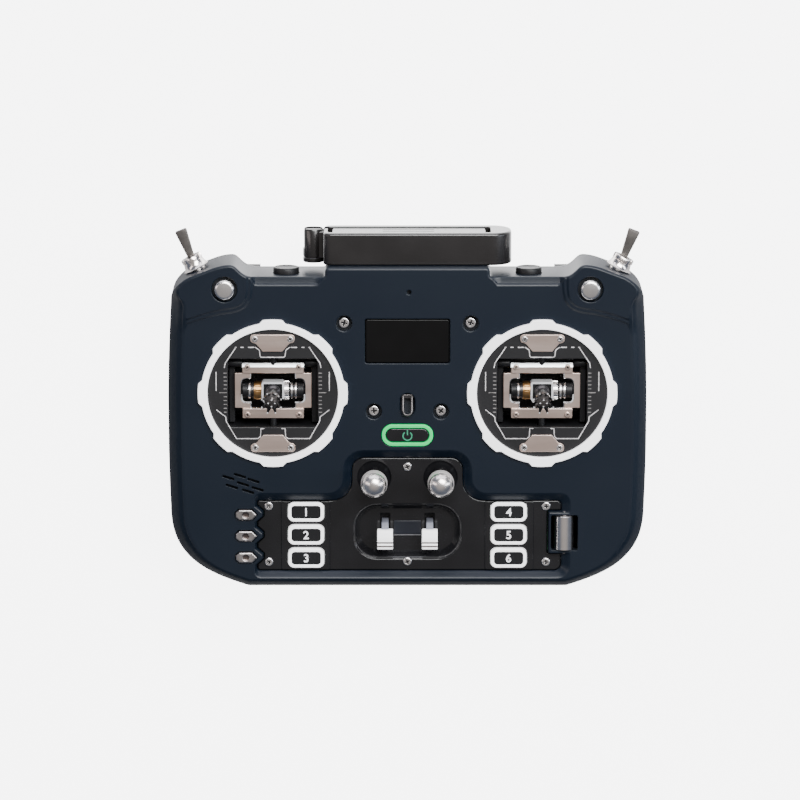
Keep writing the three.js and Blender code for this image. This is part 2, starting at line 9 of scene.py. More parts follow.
import bmesh
import bpy
import numpy as np
from mathutils import Matrix, Vector
from mathutils.geometry import delaunay_2d_cdt, tessellate_polygon


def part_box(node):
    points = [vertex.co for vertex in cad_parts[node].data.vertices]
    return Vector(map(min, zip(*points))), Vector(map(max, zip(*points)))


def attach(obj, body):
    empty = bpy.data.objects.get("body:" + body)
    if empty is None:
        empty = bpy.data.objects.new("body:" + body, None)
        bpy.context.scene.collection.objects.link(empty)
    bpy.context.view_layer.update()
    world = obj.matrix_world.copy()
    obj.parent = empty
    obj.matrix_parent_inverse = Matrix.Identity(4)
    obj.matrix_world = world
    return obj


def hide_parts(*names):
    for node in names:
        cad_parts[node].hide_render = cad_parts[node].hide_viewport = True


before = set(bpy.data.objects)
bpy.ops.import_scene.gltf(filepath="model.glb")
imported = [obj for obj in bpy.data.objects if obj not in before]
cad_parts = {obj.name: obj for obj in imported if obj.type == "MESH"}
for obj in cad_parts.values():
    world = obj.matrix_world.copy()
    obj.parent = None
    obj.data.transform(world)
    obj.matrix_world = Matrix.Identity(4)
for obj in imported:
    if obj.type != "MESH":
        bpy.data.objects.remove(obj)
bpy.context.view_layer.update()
MM = 0.001
RING_LO, RING_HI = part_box("left_gimbal_ring")
GIMBAL_X, GIMBAL_Y = 53.3, 11.0
ROW_Y = (RING_LO.y + RING_HI.y) / 2 / MM - GIMBAL_Y  # face y to row y
FACE_Z, SPLIT_Z, BACK_Z, UNDER_Z = 42.0, 20.0, 11.0, 38.0
PANEL_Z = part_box("panel_board")[1].z / MM + 9.9  # top of the lower panel
SIDES = (("left", -1), ("right", 1))
PAD_RISE = 1.35  # corner pads above the face
KEY_X, KEY_YS, MENU_YS = 40.4, (-37.7, -47.1, -56.6), (-38.5, -47.2, -56)
FRONT_SCREWS = ((-25, 39), (25, 39), (-13.3, 3.5), (13.3, 3.5))
BACK_SCREWS = ((-42, 46), (42, 46), (-14, -40), (14, -40))
PANEL_SCREWS = ((-55.3, -35.5), (55.3, -35.5), (-55.3, -58.4), (55.3, -58.4), (0, -19.4), (0, -58.2))
LEVER_X, KNOB_X, KNOB_Y, SLIDER_X, GRIP_X = 8.9, 13.2, -23.8, 61.4, 66
FACE_BUTTON = (72.1, 52.9)
TOGGLE_AT, TOGGLE_TURN, TOGGLE_LEAN = (83.4, 58.9, 30), math.radians(27), math.radians(6)
WINDOW_Y, POWER_Y, PORT_Z = 31.9, -6.1, 16.4
PRINT_Z = (42.15, 42.27)  # bottom and top of printed lines on the gimbal plates
ARC = (0, 14, 30, 46, 62, 76, 90)
SOFT_ARC = (0, 10, 22, 35, 48, 60, 71, 81, 90)


# ---------- outlines ----------
def unit(v):
    return v.normalized() if v.length > 1e-9 else v


def arc_points(centre, radius, a0, a1, steps):
    return [(centre[0] + radius * math.cos(a0 + (a1 - a0) * i / steps),
             centre[1] + radius * math.sin(a0 + (a1 - a0) * i / steps)) for i in range(steps + 1)]


def fillet(points, radii, steps=5, closed=True):
    """Rounds the corners of a polyline; radii is one number or one for each corner."""
    n = len(points)
    radii = [radii] * n if isinstance(radii, (int, float)) else list(radii)
    out = []
    for i in range(n):
        p = Vector(points[i][:2])
        if radii[i] <= 0 or (not closed and i in (0, n - 1)):
            out.append(tuple(p))
            continue
        a, b = Vector(points[i - 1][:2]) - p, Vector(points[(i + 1) % n][:2]) - p
        half = a.angle(b) / 2
        reach = min(radii[i] / math.tan(half), 0.49 * a.length, 0.49 * b.length)
        r = reach * math.tan(half)
        a.normalize()
        b.normalize()
        centre = p + (a + b).normalized() * (r / math.sin(half))
        s, e = p + a * reach - centre, p + b * reach - centre
        turn = s.angle_signed(e)
        for k in range(steps + 1):
            v = s.copy()
            v.rotate(Matrix.Rotation(-turn * k / steps, 2))
            out.append(tuple(centre + v))
    return out


def circle(x, y, r, n=40):
    return [(x + r * math.cos(2 * math.pi * i / n), y + r * math.sin(2 * math.pi * i / n)) for i in range(n)]


def rect(x, y, w, h, r=0.0, steps=5):
    corners = [(x - w / 2, y - h / 2), (x + w / 2, y - h / 2), (x + w / 2, y + h / 2),
               (x - w / 2, y + h / 2)]
    return fillet(corners, r, steps) if r else corners


def span(x0, x1, y0, y1, r=0.0, steps=5):
    return rect((x0 + x1) / 2, (y0 + y1) / 2, x1 - x0, y1 - y0, r, steps)


def spin(points, x, y, angle):
    c, s = math.cos(angle), math.sin(angle)
    return [(x + px * c - py * s, y + px * s + py * c) for px, py in points]


def mirror(loop):
    return [(-x, y) for x, y in reversed(loop)]


def bezier(points, n):
    """Points of a Bezier curve of any degree, without its first point."""
    out = []
    for i in range(1, n + 1):
        level, t = [Vector(p) for p in points], i / n
        while len(level) > 1:
            level = [a.lerp(b, t) for a, b in zip(level, level[1:])]
        out.append(tuple(level[0]))
    return out


def inset(loop, distance):
    """Moves a counter-clockwise loop inwards; distance is one number or one for each point."""
    n = len(loop)
    d = [distance] * n if isinstance(distance, (int, float)) else distance
    out = []
    for i in range(n):
        p = Vector(loop[i])
        a, b = unit(p - Vector(loop[i - 1])), unit(Vector(loop[(i + 1) % n]) - p)
        m = unit(Vector((-a.y - b.y, a.x + b.x)))
        out.append(tuple(p + m * (d[i] / max(0.4, m.dot(Vector((-a.y, a.x)))))))
    return out


def offset_edges(points, distances):
    """Moves each edge i to i+1 of a counter-clockwise polygon outwards by its own distance."""
    lines, n = [], len(points)
    for i in range(n):
        p, q = Vector(points[i]), Vector(points[(i + 1) % n])
        t = unit(q - p)
        lines.append((p + Vector((t.y, -t.x)) * distances[i], t))
    out = []
    for i in range(n):
        (p, t), (q, u) = lines[i - 1], lines[i]
        cross = t.x * u.y - t.y * u.x
        s = ((q - p).x * u.y - (q - p).y * u.x) / cross if abs(cross) > 1e-6 else 0
        out.append(tuple(p + t * s if abs(cross) > 1e-6 else q))
    return out


def smooth(x, a, b):
    t = min(1.0, max(0.0, (x - a) / (b - a)))
    return t * t * (3 - 2 * t)


def rounding(w, h, arc=SOFT_ARC):
    """(inset, drop) stations of an edge rounded over w across and h down."""
    return [(w * (1 - math.cos(math.radians(a))), h * (1 - math.sin(math.radians(a)))) for a in arc]


# ---------- mesh building ----------
class Build:
    """A mesh made of rings, strips between them and flat caps."""

    def __init__(self, place=None):
        self.bm = bmesh.new()
        self.flat = self.bm.faces.layers.int.new("flat")
        self.place = place or Matrix.Identity(4)
        self.local = {}

    def ring(self, loop, z=0.0):
        made = []
        for i, p in enumerate(loop):
            level = z[i] if isinstance(z, (list, tuple)) else z
            v = self.bm.verts.new(self.place @ Vector((p[0], p[1], level)))
            self.local[v] = Vector((p[0], p[1], 0))
            made.append(v)
        return made

    def points(self, places):
        return [self.bm.verts.new(self.place @ Vector(p)) for p in places]

    def strip(self, a, b, mat=0, closed=True):
        n = len(a)
        for i in range(n if closed else n - 1):
            j = (i + 1) % n
            self.bm.faces.new((a[i], a[j], b[j], b[i])).material_index = mat

    def strips(self, rows, mat=0):
        for a, b in zip(rows, rows[1:]):
            self.strip(a, b, mat)

    def fan(self, tip, a, mat=0):
        for i in range(len(a)):
            self.bm.faces.new((tip, a[i], a[(i + 1) % len(a)])).material_index = mat

    def cap(self, outer, holes=(), mat=0):
        loops = [outer, *holes]
        every = [v for loop in loops for v in loop]
        for tri in tessellate_polygon([[self.local[v] for v in loop] for loop in loops]):
            if len(set(tri)) == 3:
                f = self.bm.faces.new([every[i] for i in tri])
                f.material_index = mat
                f[self.flat] = 1

    def sink(self, loop, top, rim, steps, floor=True, mat=0, rim_mat=0):
        """A hole down from z=top: a rounded rim, then (inset, z) steps. Returns its top and bottom rings."""
        rings = []
        if rim > 0:
            for d, drop in reversed(rounding(rim, rim, ARC)):
                rings.append(self.ring(inset(loop, -d), top - drop))
        else:
            rings.append(self.ring(loop, top))
        edge = len(rings) - 1
        for d, z in steps:
            rings.append(self.ring(inset(loop, d) if d else loop, z))
        for k, (a, b) in enumerate(zip(rings, rings[1:])):
            self.strip(a, b, rim_mat if k < edge else mat)
        if floor:
            self.cap(rings[-1], mat=mat)
        return rings[0], None if floor else rings[-1]

    def tub(self, loop, top, rim, steps, slots, skin, under, mat=0):
        """A sunk tray whose floor has slots, with walls below. Returns its top ring and its ring at under."""
        lip, floor = self.sink(loop, top, rim, steps, floor=False, mat=mat, rim_mat=mat)
        level = steps[-1][1]
        base = inset(loop, steps[-1][0] - skin)
        above, below = [self.ring(h, level) for h in slots], [self.ring(h, level - skin) for h in slots]
        self.cap(floor, above, mat)
        for a, c in zip(above, below):
            self.strip(a, c, mat)
        foot, collar = self.ring(base, level - skin), self.ring(base, under)
        self.cap(foot, below, mat)
        self.strip(foot, collar, mat)
        return lip, collar

    def moulded(self, outer, z0, z1, edge=0.4, under=0.0, holes=(), mat=0, arc=ARC, top_mat=None):
        """A plate with rounded edges. holes are dicts for sink(), or (loop, rim) to go right through."""
        first = self.ring(inset(outer, under) if under else outer, z0)
        last = first
        if under:
            for d, rise in rounding(under, under, arc[-2:0:-2]):
                ring = self.ring(inset(outer, d), z0 + rise)
                self.strip(last, ring, mat)
                last = ring
            ring = self.ring(outer, z0 + under)
            self.strip(last, ring, mat)
            last = ring
        for d, drop in rounding(edge, edge, arc if edge > 0 else (90,)):
            ring = self.ring(inset(outer, d), z1 - drop)
            self.strip(last, ring, mat)
            last = ring
        tops, bottoms = [], []
        for h in holes:
            if isinstance(h, dict) and "slots" in h:
                top, bottom = self.tub(top=z1, under=z0, **h)
            elif isinstance(h, dict):
                top, bottom = self.sink(top=z1, **h)
            else:
                top, bottom = self.sink(h[0], z1, h[1], [(0, z0)], floor=False, mat=mat, rim_mat=mat)
            tops.append(top)
            if bottom:
                bottoms.append(bottom)
        self.cap(last, tops, mat if top_mat is None else top_mat)
        self.cap(first, bottoms, mat)

    def turned(self, profile, x=0.0, y=0.0, n=40, mat=0, wave=None, mats=None):
        """Turns (radius, height) pairs about the local Z axis. wave(angle, k) scales the radius of row k."""
        rows = []
        for k, (r, h) in enumerate(profile):
            if r < 1e-6:
                rows.append(self.points([(x, y, h)]))
                continue
            ring = []
            for i in range(n):
                a = 2 * math.pi * i / n
                s = r * (wave(a, k) if wave else 1)
                ring.append((x + s * math.cos(a), y + s * math.sin(a), h))
            rows.append(self.points(ring))
        for k, (a, b) in enumerate(zip(rows, rows[1:])):
            m = mats[k] if mats else mat
            if len(a) == 1:
                self.fan(a[0], b, m)
            elif len(b) == 1:
                self.fan(b[0], a, m)
            else:
                self.strip(a, b, m)

    def tube(self, path, r, n=14, mat=0):
        """A round bar along 3D points, with domed ends."""
        pts = [Vector(p) for p in path]
        side, rings = None, []
        for i, p in enumerate(pts):
            t = unit(pts[min(i + 1, len(pts) - 1)] - pts[max(i - 1, 0)])
            side = unit(t.orthogonal() if side is None else side - t * side.dot(t))
            up = t.cross(side)
            rings.append([p + (side * math.cos(2 * math.pi * k / n) + up * math.sin(2 * math.pi * k / n)) * r
                          for k in range(n)])
        rows = [self.points(ring) for ring in rings]
        self.strips(rows, mat)
        for end, ring, back in ((pts[0], rows[0], pts[1]), (pts[-1], rows[-1], pts[-2])):
            self.fan(self.points([end + unit(end - back) * r * 0.35])[0], ring, mat)

    def ribbon(self, path, width, z0, z1, closed=False, mat=0):
        """A flat raised line along a 2D path."""
        pts, n = [Vector(p) for p in path], len(path)
        left, right = [], []
        for i, p in enumerate(pts):
            back = pts[i - 1] if i or closed else p
            ahead = pts[(i + 1) % n] if i < n - 1 or closed else p
            a, b = unit(p - back), unit(ahead - p)
            a, b = (a if a.length else b), (b if b.length else a)
            m = unit(Vector((-a.y - b.y, a.x + b.x)))
            m = m * (width / 2 / max(0.5, m.dot(Vector((-a.y, a.x)))))
            left.append(tuple(p + m))
            right.append(tuple(p - m))
        rows = [self.ring(right, z0), self.ring(right, z1), self.ring(left, z1), self.ring(left, z0)]
        for k in range(4):
            a, b = rows[k], rows[(k + 1) % 4]
            for i in range(n if closed else n - 1):
                j = (i + 1) % n
                f = self.bm.faces.new((a[i], a[j], b[j], b[i]))
                f.material_index, f[self.flat] = mat, 1
        if not closed:
            for i in (0, -1):
                self.bm.faces.new([row[i] for row in rows]).material_index = mat

    def merge(self, other):
        """Takes in another Build's shells."""
        mesh = bpy.data.meshes.new("part")
        other.bm.to_mesh(mesh)
        self.bm.from_mesh(mesh)
        bpy.data.meshes.remove(mesh)


def shade(mesh, angle):
    bm = bmesh.new()
    bm.from_mesh(mesh)
    flat = bm.faces.layers.int.get("flat")
    bmesh.ops.recalc_face_normals(bm, faces=bm.faces)
    limit, small = math.radians(angle), math.radians(0.6)
    for f in bm.faces:
        f.smooth = True
    for e in bm.edges:
        if len(e.link_faces) == 2:
            a, b = e.link_faces
            turn = a.normal.angle(b.normal, 0)
            if turn > limit or (turn > small and a[flat] != b[flat]):
                e.smooth = False
    bm.to_mesh(mesh)
    bm.free()


def link(obj):
    bpy.context.scene.collection.objects.link(obj)
    return obj


def evaluated_mesh(obj):
    bpy.context.view_layer.update()
    return bpy.data.meshes.new_from_object(obj.evaluated_get(bpy.context.evaluated_depsgraph_get()))


def to_object(b, name):
    """Makes a linked object of a Build, in metres of the row frame."""
    b.bm.transform(Matrix.Scale(MM, 4) @ Matrix.Translation((0, ROW_Y, 0)))
    bmesh.ops.recalc_face_normals(b.bm, faces=b.bm.faces)
    mesh = bpy.data.meshes.new(name)
    b.bm.to_mesh(mesh)
    b.bm.free()
    return link(bpy.data.objects.new(name, mesh))


def piece(b, name, body, mats, replaces=(), angle=36, cutters=(), overlapping=False):
    obj = to_object(b, name)
    for m in mats:
        obj.data.materials.append(m)
    for cutter in cutters:
        tool = to_object(cutter, "cutter")
        mod = obj.modifiers.new("cut", "BOOLEAN")
        mod.operation, mod.solver, mod.use_self, mod.object = "DIFFERENCE", "EXACT", overlapping, tool
        result = evaluated_mesh(obj)
        obj.modifiers.clear()
        obj.data = result
        obj.data.name = name
        bpy.data.objects.remove(tool)
    shade(obj.data, angle)
    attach(obj, body)
    if replaces:
        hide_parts(*replaces)
    return obj


def turn_to(x, y, z, axis="Z", angle=0.0):
    """A placement whose local Z axis points along the named axis, turned about the face normal."""
    frames = {
        "Z": Matrix.Identity(4),
        "-Z": Matrix.Rotation(math.pi, 4, "X"),
        "Y": Matrix(((1, 0, 0, 0), (0, 0, 1, 0), (0, 1, 0, 0), (0, 0, 0, 1))),
        "X": Matrix(((0, 0, 1, 0), (1, 0, 0, 0), (0, 1, 0, 0), (0, 0, 0, 1))),
    }
    return Matrix.Translation((x, y, z)) @ Matrix.Rotation(angle, 4, "Z") @ frames[axis]


def toggle_place(side):
    x, y, z = TOGGLE_AT
    return turn_to(x * side, y, z, "Y", -TOGGLE_TURN * side)


# ---------- materials ----------
def put(node, values):
    """Sets unlinked inputs by name or number."""
    for key, value in values.items():
        node.inputs[key].default_value = value


def material(name, colour, rough, metal=0.0, tint=0.10, grain=2200, bump=0.08, spread=0.06, coat=0.0,
             coat_rough=0.08,
             level=0.5, brushed=None, blotch=60, second=None, glow=0.0, depth=0.00002):
    m = bpy.data.materials.new(name)
    m.use_nodes = True
    nodes, links = m.node_tree.nodes, m.node_tree.links
    shader = nodes["Principled BSDF"]
    put(shader, {"Metallic": metal, "Coat Weight": coat, "Coat Roughness": coat_rough,
                 "Specular IOR Level": level})
    coords = nodes.new("ShaderNodeTexCoord")
    mapping = nodes.new("ShaderNodeMapping")
    put(mapping, {"Scale": brushed or (1, 1, 1)})
    links.new(coords.outputs["Object"], mapping.inputs["Vector"])

    def noise(scale, detail):
        n = nodes.new("ShaderNodeTexNoise")
        put(n, {"Scale": scale, "Detail": detail})
        links.new(mapping.outputs["Vector"], n.inputs["Vector"])
        return n

    fine, broad = noise(grain, 3), noise(blotch, 2)
    ramp = nodes.new("ShaderNodeValToRGB")
    dark = [c * (1 - tint) for c in colour]
    light = list(second) if second else [min(1, c * (1 + tint)) for c in colour]
    ramp.color_ramp.elements[0].position, ramp.color_ramp.elements[1].position = 0.35, 0.65
    ramp.color_ramp.elements[0].color, ramp.color_ramp.elements[1].color = (*dark, 1), (*light, 1)
    links.new(broad.outputs["Fac"], ramp.inputs["Fac"])
    links.new(ramp.outputs["Color"], shader.inputs["Base Color"])
    rough_range = nodes.new("ShaderNodeMapRange")
    put(rough_range, {"To Min": max(0.02, rough - spread), "To Max": min(1, rough + spread)})
    links.new(fine.outputs["Fac"], rough_range.inputs["Value"])
    links.new(rough_range.outputs["Result"], shader.inputs["Roughness"])
    relief = nodes.new("ShaderNodeBump")
    put(relief, {"Strength": bump, "Distance": depth})
    links.new(fine.outputs["Fac"], relief.inputs["Height"])
    links.new(relief.outputs["Normal"], shader.inputs["Normal"])
    if glow:
        links.new(ramp.outputs["Color"], shader.inputs["Emission Color"])
        put(shader, {"Emission Strength": glow})
    return m


NAVY = material("navy_plastic", (0.0032, 0.0070, 0.0140), 0.36, tint=0.07, grain=2600, bump=0.14, level=0.32,
                second=(0.0044, 0.0082, 0.0148), blotch=22)
NAVY_DEEP = material("navy_recess", (0.006, 0.009, 0.014), 0.5, grain=2600)
GLOSS = material("gloss_black_plastic", (0.008, 0.008, 0.009), 0.15, tint=0.2, grain=500, bump=0.012,
                 spread=0.03,
                 coat=0.25, coat_rough=0.04, level=0.3)
ANTENNA_BLACK = material("antenna_black", (0.010, 0.009, 0.009), 0.24, tint=0.2, grain=700, bump=0.03,
                         spread=0.04,
                         coat=0.3, coat_rough=0.1)
SATIN = material("satin_black_plastic", (0.008, 0.008, 0.009), 0.42, tint=0.15, grain=3000, bump=0.12,
                 level=0.28)
PLATE_BLACK = material("plate_black", (0.010, 0.010, 0.011), 0.36, tint=0.15, grain=2600, bump=0.1)
RUBBER = material("grip_rubber", (0.008, 0.009, 0.011), 0.72, tint=0.15, grain=900, bump=0.7, depth=0.0001)
# White plastic with emission: a painted glow that makes the white parts look brightly lit, though they are no
# lamp.
WHITE_GLOW = material("white_plastic", (0.90, 0.895, 0.90), 0.34, tint=0.02, grain=1800, bump=0.05, glow=1.3)
# White print with emission: a painted glow on the key digits, though they are no lamp.
LABEL_GLOW = material("white_print_painted_glow", (0.85, 0.85, 0.86), 0.45, tint=0.03, grain=3000, bump=0.03, glow=0.5)
LINE = material("white_line", (0.62, 0.60, 0.60), 0.5, tint=0.25, grain=4000, bump=0.03, blotch=700)
TICK = material("grey_tick", (0.20, 0.19, 0.185), 0.5, tint=0.3, grain=4000, bump=0.03, blotch=500)
STEEL = material("warm_steel", (0.69, 0.55, 0.48), 0.36, 1.0, tint=0.08, grain=5000, bump=0.1,
                 brushed=(0.12, 1, 1),
                 second=(0.78, 0.64, 0.57), blotch=180)
SILVER = material("bright_silver", (0.78, 0.76, 0.75), 0.24, 1.0, tint=0.05, grain=4000, bump=0.05,
                  brushed=(1, 0.15, 1), blotch=200)
KNOB = material("knob_metal", (0.80, 0.74, 0.70), 0.25, 1.0, tint=0.06, grain=900, bump=0.006, spread=0.04,
                second=(0.90, 0.86, 0.83), blotch=160)
KNOB_RIM = material("knob_rim", (0.62, 0.59, 0.57), 0.5, 0.5, tint=0.06, grain=2600, bump=0.05)
CHROME = material("chrome", (0.86, 0.81, 0.78), 0.19, 1.0, tint=0.04, grain=900, bump=0.012, spread=0.04,
                  blotch=120)
DARK_METAL = material("dark_metal", (0.09, 0.085, 0.085), 0.3, 0.9, tint=0.3, grain=3000, bump=0.08,
                      blotch=260)
BRONZE = material("bronze", (0.42, 0.24, 0.10), 0.3, 1.0, tint=0.2, grain=3500, bump=0.1, blotch=240)
GLASS = material("screen_glass", (0.002, 0.002, 0.0022), 0.07, tint=0.2, grain=200, bump=0.004, spread=0.02,
                 coat=0.1, level=0.25)
GREEN = material("green_light", (0.0, 0.50, 0.12), 0.4, tint=0.05, grain=900, bump=0.02, glow=0.75)
DIM_GREEN = material("green_symbol", (0.03, 0.24, 0.13), 0.4, tint=0.05, grain=900, bump=0.02, glow=0.3)
BOARD = material("circuit_board", (0.012, 0.07, 0.03), 0.45, tint=0.3, grain=1500, bump=0.1, blotch=400)
CELL = material("cell_wrap", (0.03, 0.11, 0.27), 0.35, tint=0.1, grain=900, bump=0.05)


# ---------- the case ----------
BEHIND = turn_to(0, 0, 0, "-Z")



def body_outline():
    right = []
    for i in range(1, 33):
        right.append((63.5 * i / 32, -68.5))
    right += bezier([right[-1], (86.5, -61.5), (94.3, -53.5), (94.4, -36)], 40)
    right += bezier([right[-1], (96.1, 8), (93.4, 49)], 34)
    right += bezier([right[-1], (92.6, 54.2), (85.8, 57.8)], 14)
    right += bezier([right[-1], (77.1, 61.1)], 5)
    right += bezier([right[-1], (73, 62.6), (70, 62.6)], 8)
    right += bezier([right[-1], (66.2, 62.6), (66.6, 57.6), (59, 57.6)], 22)
    right += bezier([right[-1], (33.6, 57.6)], 14)
    right += bezier([right[-1], (32.5, 57.6), (32.5, 58.7)], 4)
    right += bezier([right[-1], (32.5, 59.5)], 1)
    right += bezier([right[-1], (32.5, 61.3), (30.7, 61.3)], 5)
    right += bezier([right[-1], (0.8, 61.3)], 16)
    right = [(min(x, 95.0), y) for x, y in right]
    return [(0, -68.5), *right, *[(-x, y) for x, y in reversed(right)]]


OUTLINE = body_outline()


EDGE_TOP = rounding(1.1, 1.1)
EDGE_SIDE = [(0, 5.6), (0.12, 5.1), (0.42, 4.65), (1.5, 3.5), (3.0, 1.95), (4.3, 0.78), (4.75, 0.62),
             (5.3, 0.10),
             (6.4, 0)]
EDGE_LOW = [(0, 4.2), (0.1, 3.7), (0.35, 3.2), (1.0, 2.3), (1.7, 1.4), (2.3, 0.75), (2.9, 0.28), (3.3, 0.08),
            (3.6, 0)]
EDGE_LEDGE = [(0, 1.9), (0.1, 1.5), (0.35, 1.25), (0.9, 1.15), (2.2, 0.92), (2.5, 0.84), (2.8, 0.42),
              (3.15, 0.12),
              (3.6, 0)]


def crease(side):
    right = [(62.0, 61.5), (62.3, 52.1)]
    line = [right[0], *bezier(right, 10), *bezier([right[1], (63, 46), (66, 44.6), (72, 44)], 14),
            *bezier([(72, 44), (82, 42.6), (97, 35.6)], 26)]
    return [(x * side, y) for x, y in line]


CREASE = np.array(crease(1))


def pad_height(x, y):
    """How far the raised corner pads stand above the face at a point."""
    x = abs(x)
    if x < 59 or y < 32:
        return 0.0
    p = np.array((x, y))
    a, b = CREASE[:-1], CREASE[1:]
    ab = b - a
    t = np.clip(((p - a) * ab).sum(1) / (ab * ab).sum(1), 0, 1)
    near = a + ab * t[:, None]
    gap = np.linalg.norm(p - near, axis=1)
    i = int(gap.argmin())
    d = ab[i]
    side = d[0] * (p - a[i])[1] - d[1] * (p - a[i])[0]
    signed = gap[i] if side > 0 else -gap[i]
    fade = 1 - smooth(x, 87, 93.5) * (1 - smooth(y, 41, 48))
    return PAD_RISE * (smooth(signed, -1.3, -0.45) + smooth(signed, 0.45, 1.3)) / 2 * fade


def lift(x, y, z):
    return z + pad_height(x, y) * min(1.0, max(0.0, (z - 36) / 6))


def edge_profile(i):
    """The (inset, drop) stations of the case edge at outline point i."""
    x, y = OUTLINE[i]
    a, b = Vector(OUTLINE[i - 1]), Vector(OUTLINE[(i + 1) % len(OUTLINE)])
    t = unit(b - a)
    normal_y = -t.x
    low = smooth(-normal_y, 0.55, 0.98)
    top = smooth(y, 46.5, 55.5)
    ledge = smooth(61.4 - abs(x), 0, 1.6) * smooth(abs(x), 33.4, 34.6) if y > 55 else 0
    rows = []
    for s, l, u, e in zip(EDGE_SIDE, EDGE_LOW, EDGE_TOP, EDGE_LEDGE):
        v = Vector(s).lerp(Vector(l), low).lerp(Vector(u), top).lerp(Vector(e), ledge)
        rows.append((v.x, v.y))
    return rows


POCKET = [(-60, -62), (61.5, -62), (61.5, -54.6), (56, -54.6), (56, -37.4), (61.5, -37.4), (61.5, -33.1),
          (22.3, -33.1), (22.3, -15.6), (-22.3, -15.6), (-22.3, -33.1), (-60, -33.1)]
POCKET_FLARE = [2.3, 3.2, 0.35, 0.35, 0.35, 3.2, 3.2, 3.2, 3.2, 3.2, 3.2, 0.8]
POCKET_R = [2, 3, 0.6, 0.6, 0.6, 0.6, 2, 8, 5, 5, 8, 2]
POCKET_OUT_R = [4, 6, 0.6, 0.6, 0.6, 0.6, 5, 6, 8, 8, 6, 4]
for key_y in MENU_YS:
    POCKET += [(-60, key_y + 3.3), (-57.4, key_y + 1), (-57.4, key_y - 1), (-60, key_y - 3.3)]
    POCKET_FLARE += [0.5, 0.5, 0.5, 0.8]
    POCKET_R += [0.4] * 4
    POCKET_OUT_R += [0.4] * 4
POCKET_IN = fillet(POCKET, POCKET_R, 6)
POCKET_OUT = fillet(offset_edges(POCKET, POCKET_FLARE), POCKET_OUT_R, 6)


def menu_hexagon(y, grow=0.0):
    x, w, h = -64.2, 4.25 + grow, 2.1 + grow
    shape = [(x - w, y - 0.9), (x - w + 1.5, y - h), (x + w - 1.9, y - h), (x + w, y - 0.15),
             (x + w, y + 0.15),
             (x + w - 1.9, y + h), (x - w + 1.5, y + h), (x - w, y + 0.9)]
    return fillet(shape, 0.35, 3)


def inside(points, loop):
    """Which of the points are inside a loop, by even-odd crossings."""
    poly = np.array(loop)
    x, y = points[:, 0, None], points[:, 1, None]
    x0, y0 = poly[:, 0], poly[:, 1]
    x1, y1 = np.roll(x0, -1), np.roll(y0, -1)
    crosses = (y0 > y) != (y1 > y)
    with np.errstate(divide="ignore", invalid="ignore"):
        at = x0 + (y - y0) * (x1 - x0) / (y1 - y0)
    return (crosses & (x < at)).sum(1) % 2 == 1


def face_cap(b, outer, holes, height):
    """Fills the face between the outer ring and the hole rings, following height(x, y)."""
    loops = [outer, *holes]
    verts = [v for loop in loops for v in loop]
    points = [b.local[v].to_2d() for v in verts]
    edges, start = [], 0
    for loop in loops:
        edges += [(start + i, start + (i + 1) % len(loop)) for i in range(len(loop))]
        start += len(loop)
    flat = np.array([tuple(b.local[v].to_2d()) for v in verts])
    extra = []
    for side in (1, -1):
        line = crease(side)
        for p, q in zip(line, line[1:]):
            d = unit(Vector(q) - Vector(p))
            for k in range(max(1, round((Vector(q) - Vector(p)).length / 1.1))):
                at = Vector(p) + d * 1.1 * k
                for off in (-1.3, -0.88, -0.45, 0, 0.45, 0.88, 1.3):
                    extra.append((at.x - d.y * off, at.y + d.x * off))
    for gx in np.arange(-92, 92.1, 4.0):
        for gy in np.arange(-66, 62, 4.0):
            far = min((abs(abs(gx) - c[0]) + abs(gy - c[1])) for c in CREASE[::4])
            if far > 3.2:
                extra.append((gx, gy))
    extra = np.array(extra)
    loops2d = [[tuple(b.local[v].to_2d()) for v in loop] for loop in loops]
    keep = inside(extra, loops2d[0])
    for loop in loops2d[1:]:
        keep &= ~inside(extra, loop)
    gap = np.sqrt(((extra[:, None, :] - flat[None, :, :]) ** 2).sum(2)).min(1)
    extra = extra[keep & (gap > 0.45)]
    points += [Vector(p) for p in extra]
    out, _, faces, origin, _, _ = delaunay_2d_cdt(points, edges, [], 0, 1e-5)
    made = list(verts)
    for p in extra:
        v = b.bm.verts.new(b.place @ Vector((p[0], p[1], height(p[0], p[1]))))
        b.local[v] = Vector((p[0], p[1], 0))
        made.append(v)
    if len(out) != len(made):
        strays = [tuple(round(c, 2) for c in v) for v, o in zip(out, origin) if not o]
        raise RuntimeError(f"face_cap: loops cross at {strays}")
    centres = np.array([[sum(out[i][k] for i in f) / 3 for k in (0, 1)] for f in faces])
    keep = inside(centres, loops2d[0])
    for loop in loops2d[1:]:
        keep &= ~inside(centres, loop)
    for f, ok in zip(faces, keep):
        if ok:
            face = b.bm.faces.new([made[i] for i in f])
            face[b.flat] = 1


